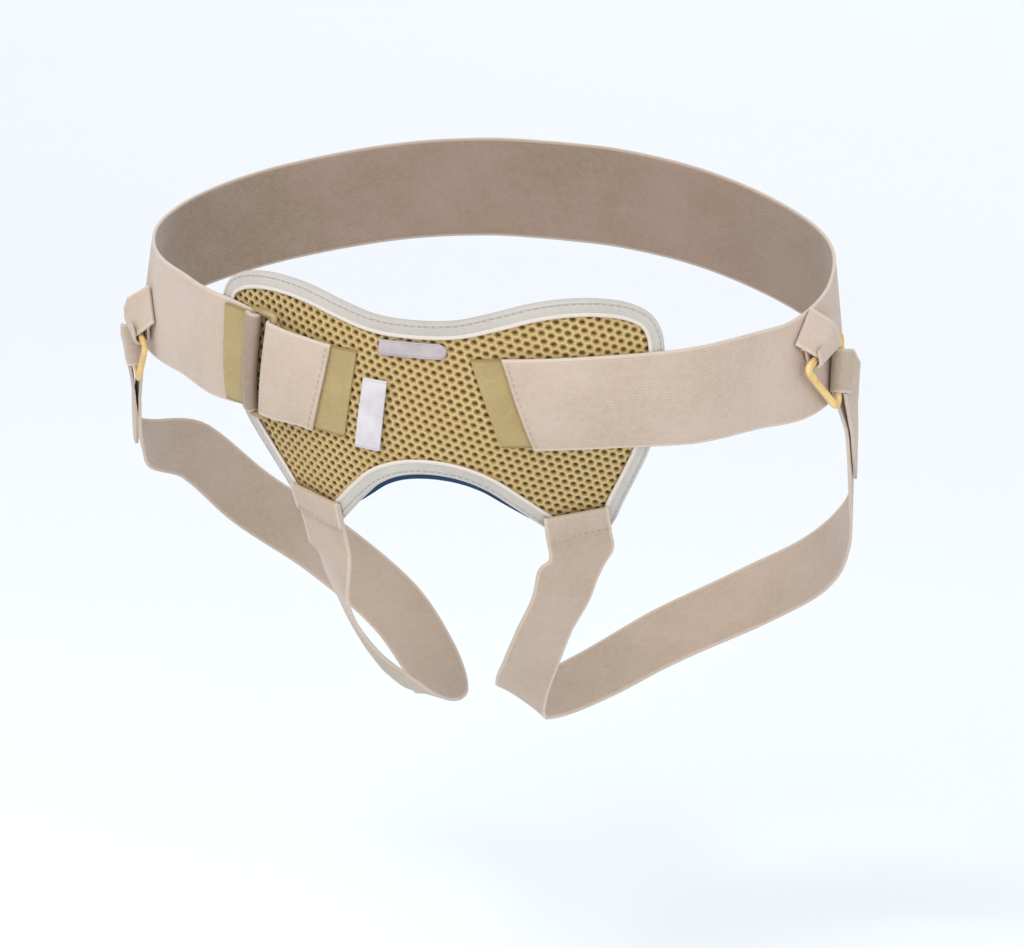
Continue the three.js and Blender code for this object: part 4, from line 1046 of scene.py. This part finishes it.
ring_half_across = strap_width(REAR_BAR) / 2 + RING["side_clearance"] + RING["bar"] / 2
ring_half_along = RING["spacing"] / 2
ring_corner_shares = [
    RING["corner"] / (2 * half_side)
    for half_side in (ring_half_along, ring_half_across) * 2
]
ring_line = rounded_line(
    [(-ring_half_along, -ring_half_across), (-ring_half_along, ring_half_across),
     (ring_half_along, ring_half_across), (ring_half_along, -ring_half_across)],
    ring_corner_shares,
)
strap_ring = flat_ring(
    "buckle_ring",
    ring_line,
    RING["bar"] / 2,
    RING["bar"] / 2,
    lambda x, y, high: on_belt(RING["along"] + x, y, RING_CENTRE + high),
)
khaki_plastic = material("Khaki plastic", paint_plastic("75643f", "97825c", "ab966e"))
dressed(strap_ring, khaki_plastic)
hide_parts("strap_ring")


# Pull label.
# A bare white satin label, folded in two beside the short strap's hook tape and sewn by one edge.
# A shallow crease runs along it.
LABEL = {"width": 12, "height": 34, "thickness": 1.0, "drop": -8, "sewn_at": 5.2, "rise": 1.2,
         "groove": 0.3, "groove_at": 0.36, "groove_width": 0.07}
SATIN_LEAF = 0.3


def make_pull_label(name):
    start = RIGHT_END + HOOK["visible"] + LABEL["sewn_at"]
    rows, columns = 40, 22
    leaf = SATIN_LEAF
    radius = (LABEL["thickness"] - leaf) / 2
    out = np.linspace(0, LABEL["width"] - radius, 17)
    turn = np.linspace(-np.pi / 2, np.pi / 2, 9)[1:-1]
    along = np.concatenate([out, LABEL["width"] - radius + radius * np.cos(turn), out[::-1]])
    high = np.concatenate([
        np.full(len(out), leaf / 2),
        leaf / 2 + radius + radius * np.sin(turn),
        np.full(len(out), leaf / 2 + 2 * radius),
    ])
    place = np.linspace(0, 1, len(along))

    def lay(share_along, share_across):
        reach = np.interp(share_along, place, along)
        across = LABEL["drop"] + (share_across - 0.5) * LABEL["height"]
        reached = reach / LABEL["width"]
        lift = LABEL["rise"] * np.sin(np.pi / 2 * np.clip(reached, 0, 1))
        from_groove = (reached - LABEL["groove_at"]) / LABEL["groove_width"]
        lift = lift - LABEL["groove"] * np.exp(-(from_groove**2))
        curl = 0.5 * reached**2 * (2 * share_across - 1) ** 2
        points = on_belt(
            start + reach - HOOK["near_slant"] * across,
            across,
            HOOK_BASE + lift + curl + np.interp(share_along, place, high),
        )
        edge = np.minimum(share_across, 1 - share_across) * LABEL["height"]
        return points, np.stack([share_along * 2 * LABEL["width"], across], 1), edge

    return worn_grid(name, rows, columns, lay, thickness=leaf, rounding=0.1)


def paint_satin(light, base, groove):
    def paint(tree, shader):
        soft = use(tree, unevenness, Patch_size=0.012, Fleck_size=0.001)
        ribs = use(tree, woven, Rib_pitch=0.0005, Pick_pitch=0.0009)
        tone = mixed(tree, soft["Patches"], colour(light), colour(base))
        # Painted shade in the grooves between the ribs
        tone = mixed(tree, calc(tree, "MULTIPLY", ribs["Groove shade"], 0.25), tone, colour(groove))
        edge = add(tree, "Attribute", {"attribute_name": "edge"}).outputs["Fac"]
        hem = calc(tree, "MULTIPLY", ranged(tree, edge, 0.0005, 0.0009), ranged(tree, edge, 0.0014, 0.001))
        tone = mixed(tree, calc(tree, "MULTIPLY", hem, 0.4), tone, colour(groove))
        join(tree, shader.inputs["Base Color"], tone)
        shader.inputs["Roughness"].default_value = 0.42
        shader.inputs["Sheen Weight"].default_value = 0.2
        bumped(tree, shader, ribs["Height"], 0.00008)
    return paint


satin = material("White satin", paint_satin("d3cfd1", "c3bec2", "9c96a0"))
# The centre tab is the same white satin, painted darker and mauve as shade
shaded_tab_satin = material("Tab satin with painted shade", paint_satin("b8aeb0", "a79ca1", "877d86"))
pull_label = make_pull_label("pull_label_satin")
dressed(pull_label, satin)
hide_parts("pull_label")


# Centre tab.
# A short bare satin tape folded in two along its lower edge, and caught under the binding at the
# middle of the top edge. One end is rounded.
TAB = {"length": 30, "height": 7.6, "thickness": 0.9, "shift": -1, "centre_share": 0.22, "round": 0.14,
       "crown": 0.25}


def make_centre_tab(name):
    """A tape folded in two along its lower edge: the back leaf, the fold and the front leaf."""
    leaf = SATIN_LEAF
    radius = (TAB["thickness"] - leaf) / 2
    turn = np.linspace(-np.pi / 2, np.pi / 2, 9)[1:-1]
    down, up = np.linspace(1, -1, 9), np.linspace(-1, 1, 9)
    height = np.concatenate([down, np.full(len(turn), -1.0), up])
    fold = np.concatenate([np.full(len(down), -np.pi / 2), turn, np.full(len(up), np.pi / 2)])
    crown = np.concatenate([np.zeros(len(down) + len(turn)), TAB["crown"] * np.sqrt(1 - up**2)])
    place = np.linspace(0, 1, len(height))
    centre_height = TAB["centre_share"] * PANEL["height"]

    def lay(share_along, share_across):
        x = TAB["shift"] + (share_along - 0.5) * TAB["length"]
        into = np.maximum(0, (share_along - 1 + TAB["round"]) / TAB["round"])
        half = TAB["height"] / 2 * np.sqrt(np.maximum(1 - (into * 0.95) ** 2, 0))
        turned = np.interp(share_across, place, fold)
        across = np.interp(share_across, place, height) * (half - radius) - radius * np.cos(turned)
        high = leaf / 2 + radius + radius * np.sin(turned) + np.interp(share_across, place, crown)
        level = centre_height + across
        points = on_body(panel_along(x, centre_height), level, HOOK_BASE + high)
        pattern = np.stack([x, (share_across - 0.5) * 2 * TAB["height"]], 1)
        return points, pattern, half - np.abs(across)

    return worn_grid(name, 44, len(height) - 1, lay, thickness=leaf, rounding=0.1)


centre_tab = make_centre_tab("centre_tab_satin")
dressed(centre_tab, shaded_tab_satin)
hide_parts("centre_label")


# Leg straps.
# Elastic at most 32 mm wide, hemmed and sewn on each lower tip of the panel. It runs down the groin, turns
# under between the legs, climbs behind the hip, and folds round a triangular ring.
LEG = {"width": 32, "thickness": 1.6, "drop": 186, "hem": 12, "hem_slope": 0.2, "top_height": -51,
       "top_along": 63, "top_width": 29, "shift_depth": 0.11, "leave_over": 2}
HIP_RING = {"side": 43.5, "bar": 3.8, "thickness": 2.6, "along": 219, "height": 8, "turn": 110,
            "right_along": 186, "right_drop": 14, "outer_round": 0.16}
TURNED_WIDTH = 21
PAST_BAR = 5.5
THIRD_TURN = 120
STRAP_COLUMNS = 12
LEG_ROWS = {
    "side": (0.325, 0.312, 0.28, 0.237, 0.185, 0.15, 0.137, 0.165, 0.255, 0.426, 0.665, 0.869, 0.99),
    "shifted": (1, 0.85, 0.6, 0.35, 0.3, 0.3, 0.3, 0.3, 0.2, 0, 0, 0, 0),
    "depth": (-0.72, -0.65, -0.53, -0.37, -0.25, -0.13, 0, 0.12, 0.33, 0.58, 0.66, 0.56, 0.37),
    "drop": (0.46, 0.56, 0.67, 0.79, 0.883, 0.945, 0.975, 0.98, 0.95, 0.87, 0.745, 0.61, 0.457),
    "face_x": (0.72, 0.76, 0.72, 0.58, 0.3, 0.15, 0, -0.05, -0.1, -0.05, 0.3, 0.7, 0.95),
    "face_y": (-0.6, -0.58, -0.6, -0.6, -0.5, -0.3, 0.1, 0.2, 0.45, 0.8, 0.92, 0.7, 0.3),
    "face_z": (-0.3, -0.3, -0.34, -0.52, -0.8, -0.94, -1, -0.98, -0.88, -0.6, -0.25, -0.1, -0.02),
    "twist": (-0.2, -0.2, -0.17, -0.2, -0.3, -0.6, -0.8, -0.6, -0.3, 0, 0, 0, 0),
    "inwards": (0.018, 0.03, 0.038, 0.036, 0.03, 0.022, 0.016, 0.008, 0, 0, 0, 0, 0),
    "width": (1, 1, 0.96, 0.9, 0.84, 0.8, 0.8, 0.86, 0.94, 1, 1, 1, 1),
}
REAR_ROWS = {
    "behind": (38, 31),
    "below": (58, 30),
    "lift": (0, 0.6),
    "width": (TURNED_WIDTH + 2, TURNED_WIDTH + 1),
}
TURNED_ROWS = {
    "behind": (32, 37, 40),
    "below": (31, 47, 61),
    "lift": (3, 2.3, 2.2),
    "width": (TURNED_WIDTH + 1, TURNED_WIDTH + 1, 5),
}
LEG_SEAT = STRAP_BASE + LEG["thickness"] / 2
OVER_STRAP = GAP + STRAP["thickness"] + GAP + LEG["thickness"] / 2
TURN_RADIUS = math.hypot(HIP_RING["bar"], HIP_RING["thickness"]) / 2 + GAP + LEG["thickness"] / 2
HIP_RING_OFFSET = GAP + STRAP["thickness"] + 2 * GAP + LEG["thickness"] / 2 + TURN_RADIUS
RING_APOTHEM = HIP_RING["side"] / (2 * math.sqrt(3)) - HIP_RING["bar"] / 2
SIDES = {"left": 1, "right": -1}


def side_patch(side):
    """Flat patch on the side of the hips where a triangular ring lies, for the wearer's left."""
    along = HIP_RING["right_along"] if side < 0 else HIP_RING["along"]
    level = HIP_RING["height"] - (HIP_RING["right_drop"] if side < 0 else 0)
    origin = on_body(along, level, 0)
    out = on_body(along, level, 1) - origin
    up = unit(np.array([0, 0, 1]) - out * out[2])
    back = np.cross(up, out)
    return {"origin": origin, "out": out, "up": up, "back": back, "along": along, "level": level}


def on_patch(patch, across, rise, offset):
    across, rise, offset = (np.asarray(v, float)[..., None] for v in (across, rise, offset))
    return patch["origin"] + patch["back"] * across + patch["up"] * rise + patch["out"] * offset


def body_station(along, level, offset, width):
    centre = on_body(along, level, offset)
    return {"centre": centre, "face": on_body(along, level, offset + 1) - centre, "width": width}


def patch_turn(patch, side_angle, width, steps=14):
    """Turn of a strap round one side of the triangular ring, from under the bar to over it."""
    direction = np.array([math.cos(math.radians(side_angle)), math.sin(math.radians(side_angle))])
    across = on_patch(patch, -direction[1], direction[0], 0) - patch["origin"]
    middle = on_patch(patch, *(direction * RING_APOTHEM), HIP_RING_OFFSET)

    def station(inwards, lift):
        return on_patch(patch, *(direction * (RING_APOTHEM - inwards)), HIP_RING_OFFSET + lift)

    turn = []
    for angle in np.linspace(-np.pi / 2, np.pi / 2, steps + 1):
        centre = station(TURN_RADIUS * math.cos(angle), TURN_RADIUS * math.sin(angle))
        turn.append({"centre": centre, "face": unit(centre - middle), "width": width, "across": across})
    under = {**turn[0], "centre": station(-PAST_BAR, -TURN_RADIUS)}
    over = {**turn[-1], "centre": station(-PAST_BAR, TURN_RADIUS)}
    return [under, *turn, over]


def smooth_stations(chosen, count):
    places = np.linspace(0, len(chosen) - 1, count + 1)
    centres = through([s["centre"] for s in chosen], places)
    stations = []
    for place, centre in zip(places, centres):
        k = min(len(chosen) - 2, int(place))
        share = place - k
        first, second = chosen[k], chosen[k + 1]
        stations.append({
            "centre": centre,
            "face": unit(first["face"] * (1 - share) + second["face"] * share),
            "width": first["width"] * (1 - share) + second["width"] * share,
        })
    return stations


def mirrored(stations, side):
    flip = np.array([side, 1, 1])
    return [
        {**s, "centre": s["centre"] * flip, "face": s["face"] * flip,
         **({"across": s["across"] * flip} if "across" in s else {})}
        for s in stations
    ]


def station_strap(name, stations, thickness):
    """A strap through stations: centre, the way its face looks, width, and how far it is laid on
    the curve of the body instead of straight across."""
    centres = np.array([s["centre"] for s in stations])
    faces = np.array([s["face"] for s in stations])
    widths = np.array([s["width"] for s in stations], float)
    ahead = unit(np.vstack([
        centres[1:2] - centres[:1],
        centres[2:] - centres[:-2],
        centres[-1:] - centres[-2:-1],
    ]))
    squares = np.cross(ahead, unit(faces - ahead * (faces * ahead).sum(1)[:, None]))
    across = np.array([s.get("across", squares[i]) for i, s in enumerate(stations)])
    across = across * np.sign((across * squares).sum(1))[:, None]
    hold = np.array([s.get("hold", 0) for s in stations], float)
    slope = np.array([s.get("slope", 0) for s in stations], float)
    along = np.array([s.get("along", 0) for s in stations], float)
    raised = np.array([s.get("raised", 0) for s in stations], float)
    length = np.concatenate([[0], np.cumsum(np.linalg.norm(np.diff(centres, axis=0), axis=1))])
    rows = len(stations) - 1

    def lay(share_along, share_across):
        at = np.round(share_along * rows).astype(int)
        sideways = (share_across - 0.5) * widths[at]
        straight = centres[at] + across[at] * sideways[:, None]
        level, offset = centres[at, 2], LEG_SEAT + raised[at]
        laid = on_body(along[at] - sideways, level - slope[at] * sideways, offset)
        laid = laid - on_body(along[at], level, offset) + centres[at]
        points = straight + (laid - straight) * hold[at][:, None]
        edge = np.minimum(share_across, 1 - share_across) * widths[at]
        return points, np.stack([length[at], sideways], 1), edge

    strap = worn_grid(name, rows, STRAP_COLUMNS, lay, thickness=thickness, rounding=STRAP_ROUNDING)
    return strap, length[-1]


def table_rows(table):
    return [dict(zip(table, values)) for values in zip(*table.values())]


def leg_stations(side):
    patch = side_patch(side)
    top_height, hem = LEG["top_height"], LEG["hem"]

    def along_at(level):
        return panel_along(side * LEG["top_along"], level)

    def on_tip(level):
        return mirrored([body_station(along_at(level), level, LEG_SEAT, LEG["top_width"])], side)[0]

    middle = []
    panel_middle = panel_along(0, top_height)
    for row in table_rows(LEG_ROWS):
        row_side = row["side"] - (row["inwards"] if side > 0 else 0)
        middle.append({
            "centre": np.array([
                row_side * HIPS["half_width"] + side * row["shifted"] * panel_middle,
                (row["depth"] + side * row["shifted"] * LEG["shift_depth"]) * HIPS["front_depth"],
                -row["drop"] * LEG["drop"],
            ]),
            "face": unit(np.array([
                row["face_x"] + (row["twist"] if side > 0 else 0),
                row["face_y"],
                row["face_z"],
            ])),
            "width": LEG["width"] * row["width"],
        })

    def on_hip(row):
        return body_station(
            patch["along"] + row["behind"],
            patch["level"] - row["below"],
            OVER_STRAP + row["lift"],
            row["width"],
        )

    turn = patch_turn(patch, HIP_RING["turn"] - THIRD_TURN, TURNED_WIDTH)
    under_turn = {**turn[0], "face": -turn[0]["face"]}
    under_turn.pop("across")
    rear = [on_hip(row) for row in table_rows(REAR_ROWS)]
    top = [on_tip(top_height), on_tip(top_height - hem), on_tip(top_height - 2 * hem)]
    up = smooth_stations([*top, *middle, *rear, under_turn], 190)
    down = smooth_stations([turn[-1], *(on_hip(row) for row in table_rows(TURNED_ROWS))], 22)
    leaving = -top_height + 2 * hem
    held = []
    for i, s in enumerate(up[:-1]):
        level = s["centre"][2]
        hold = 1 - smooth_step(-level, leaving, leaving + LEG["leave_over"] * hem) if i < len(up) / 2 else 0
        held.append({**s, "hold": float(hold), "slope": side * LEG["hem_slope"], "along": along_at(level)})
    turned = [{**s, "face": -s["face"]} for s in [*turn, *down[1:]]]
    return mirrored([*held, *turned], side), along_at


HEM = {"leaf": 1.45, "lift": 1.5, "stitch_at": 10.6}


def make_leg_strap(name, side):
    stations, along_at = leg_stations(side)
    top_height, hem = LEG["top_height"], LEG["hem"]
    fold = []
    levels = [(top_height - hem * share, HEM["lift"]) for share in np.linspace(1, 0.14, 11)]
    radius = HEM["lift"] / 2
    levels += [(top_height + radius * math.cos(a) - radius, radius + radius * math.sin(a))
               for a in np.linspace(np.pi / 2, -np.pi / 2, 9)[:-1]]
    first = stations[0]
    for level, lift in levels:
        centre = on_body(along_at(level), level, LEG_SEAT + lift)
        fold.append({**first, "centre": centre, "along": along_at(level), "raised": lift, "hold": 1.0})
    return station_strap(name, [*fold, *stations[1:]], HEM["leaf"])


def hem_stitches(name, side):
    width = LEG["top_width"] * SEAM_SHARE
    sideways = np.linspace(-width / 2, width / 2, round(width / THREAD["pitch"]) + 1)
    level = LEG["top_height"] - HEM["stitch_at"]
    along = panel_along(side * LEG["top_along"], level) - sideways
    surface = LEG_SEAT + HEM["lift"] + HEM["leaf"] / 2 + THREAD["radius"] / 3
    points, lifted = (
        on_body(along, level - side * LEG["hem_slope"] * sideways, surface + lift) for lift in (0, 1)
    )
    return stitches(name, points, lifted, beige_thread)


# The leg straps are the waist strap's elastic painted darker, as shade
shaded_leg_elastic = material("Leg strap elastic, painted shade", paint_elastic("b9a595", "ae9a85", "bcab9d"))
for label, side in SIDES.items():
    strap, strap_length = make_leg_strap("leg_strap_elastic_" + label, side)
    dressed(strap, shaded_leg_elastic)
    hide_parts("leg_strap_" + label)
    hem_stitches("hem_stitches_" + label, side)


# Triangular rings and their hangers.
# Gold-tan plastic triangles with rounded corners, flat on each hip. A short doubled strap holds
# each one on the waist strap, and the leg strap is folded round its lower side.
HANGER = {"width": 21, "length": 16, "returned": 8, "lean": 10}
gold_plastic = material("Gold plastic", paint_plastic("ad8440", "d0a45a", "e6c684"))


def make_hip_ring(name, side):
    patch = side_patch(side)
    turns = [math.radians(HIP_RING["turn"] + THIRD_TURN / 2 + THIRD_TURN * i) for i in range(3)]
    corners = [(2 * RING_APOTHEM * math.cos(turn), 2 * RING_APOTHEM * math.sin(turn)) for turn in turns]
    line = rounded_line(corners, [HIP_RING["outer_round"]] * 3)

    def place(x, y, high):
        return on_patch(patch, x, y, HIP_RING_OFFSET + high) * (side, 1, 1)

    return flat_ring(name, line, HIP_RING["bar"] / 2, HIP_RING["thickness"] / 2, place, squareness=3.2)


def make_hanger(name, side):
    patch = side_patch(side)
    turn = patch_turn(patch, HIP_RING["turn"], HANGER["width"])
    lean = math.radians(HIP_RING["turn"] + HANGER["lean"])
    direction = np.array([math.cos(lean), math.sin(lean)])
    back = direction * (RING_APOTHEM + HANGER["returned"])
    returned = {**turn[0], "centre": on_patch(patch, *back, HIP_RING_OFFSET - TURN_RADIUS)}
    reach = direction * (RING_APOTHEM + HANGER["length"])
    end = body_station(patch["along"] + reach[0], patch["level"] + reach[1], OVER_STRAP, HANGER["width"])
    down = smooth_stations([turn[-1], end], 10)[1:]
    return station_strap(name, mirrored([returned, *turn, *down], side), HEM["leaf"])


for label, side in SIDES.items():
    ring = make_hip_ring("triangle_ring_" + label, side)
    dressed(ring, gold_plastic)
    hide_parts("hip_ring_" + label)
    hanger, hanger_length = make_hanger("hanger_elastic_" + label, side)
    dressed(hanger, elastic)
    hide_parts("ring_hanger_" + label)


# Floor, backdrop, light and camera.
# A pale studio sweep well below the belt, soft light from all round with a key from above, and the
# camera at the photograph's angle and distance.
def make_sweep():
    bm = bmesh.new()
    bmesh.ops.create_grid(bm, x_segments=2, y_segments=40, size=1)
    floor_level, front, back, bend, top, half_width = -0.34, -6.0, 1.6, 1.2, 4.0, 5.0
    for vert in bm.verts:
        share = (vert.co.y + 1) / 2
        run = back - front
        arc = bend * math.pi / 2
        at = share * (run + arc + top)
        if at < run:
            y, z = front + at, 0
        elif at < run + arc:
            angle = (at - run) / bend
            y, z = back + bend * math.sin(angle), bend * (1 - math.cos(angle))
        else:
            y, z = back + bend, bend + at - run - arc
        vert.co = (vert.co.x * half_width, y, z + floor_level)
    mesh = bpy.data.meshes.new("studio_sweep")
    bm.to_mesh(mesh)
    bm.free()
    sweep = new_piece("studio_sweep", mesh)
    paper = bpy.data.materials.new("Pale paper")
    paper.use_nodes = True
    shader = paper.node_tree.nodes["Principled BSDF"]
    shader.inputs["Base Color"].default_value = colour("f3f6f9")
    shader.inputs["Roughness"].default_value = 0.95
    mesh.materials.append(paper)
    mesh.shade_smooth()
    return sweep


make_sweep()


def area_light(name, location, target, size, power, tint):
    data = bpy.data.lights.new(name, "AREA")
    data.shape = "DISK"
    data.size = size
    data.energy = power
    data.color = tint
    lamp = bpy.data.objects.new(name, data)
    bpy.context.scene.collection.objects.link(lamp)
    lamp.location = location
    lamp.rotation_euler = (Vector(target) - Vector(location)).to_track_quat("-Z", "Y").to_euler()
    return lamp


area_light("Key", (-0.9, -2.2, 2.3), (0, 0, 0), 1.6, 46, (1.0, 0.985, 0.96))
area_light("Fill", (2.0, -2.0, 0.8), (0, 0, -0.02), 2.0, 20, (0.97, 0.985, 1.0))

scene = bpy.context.scene
world = bpy.data.worlds.new("Pale studio")
world.use_nodes = True
world.node_tree.nodes["Background"].inputs["Color"].default_value = (0.96, 0.98, 1.0, 1)
world.node_tree.nodes["Background"].inputs["Strength"].default_value = 0.85
scene.world = world
scene.view_settings.view_transform = "Standard"

CAMERA = {"azimuth": 18, "elevation": 14, "roll": 1.8, "distance": 2200, "scale": 2.03}
IMAGE = {"width": 1024, "height": 948, "origin_x": 488, "origin_y": 343}


def make_camera():
    turn, rise, roll = (math.radians(CAMERA[k]) for k in ("azimuth", "elevation", "roll"))
    back = Vector((math.sin(turn) * math.cos(rise), -math.cos(turn) * math.cos(rise), math.sin(rise)))
    right = Vector((math.cos(turn), math.sin(turn), 0))
    up = back.cross(right)
    from_middle = (IMAGE["origin_x"] - IMAGE["width"] / 2, IMAGE["origin_y"] - IMAGE["height"] / 2)
    aside = (from_middle[0] * math.cos(roll) + from_middle[1] * math.sin(roll)) / CAMERA["scale"]
    below = (-from_middle[0] * math.sin(roll) + from_middle[1] * math.cos(roll)) / CAMERA["scale"]
    target = right * -aside + up * below
    data = bpy.data.cameras.new("Photo view")
    data.sensor_width = 36
    data.lens = data.sensor_width * CAMERA["distance"] * CAMERA["scale"] / IMAGE["width"]
    data.clip_end = 50
    camera = bpy.data.objects.new("Photo view", data)
    bpy.context.scene.collection.objects.link(camera)
    rolled_right = right * math.cos(roll) + up * math.sin(roll)
    rolled_up = up * math.cos(roll) - right * math.sin(roll)
    turned = Matrix((rolled_right, rolled_up, back)).transposed().to_4x4()
    turned.translation = (target + back * CAMERA["distance"]) * MM
    camera.matrix_world = turned
    return camera


scene.camera = make_camera()
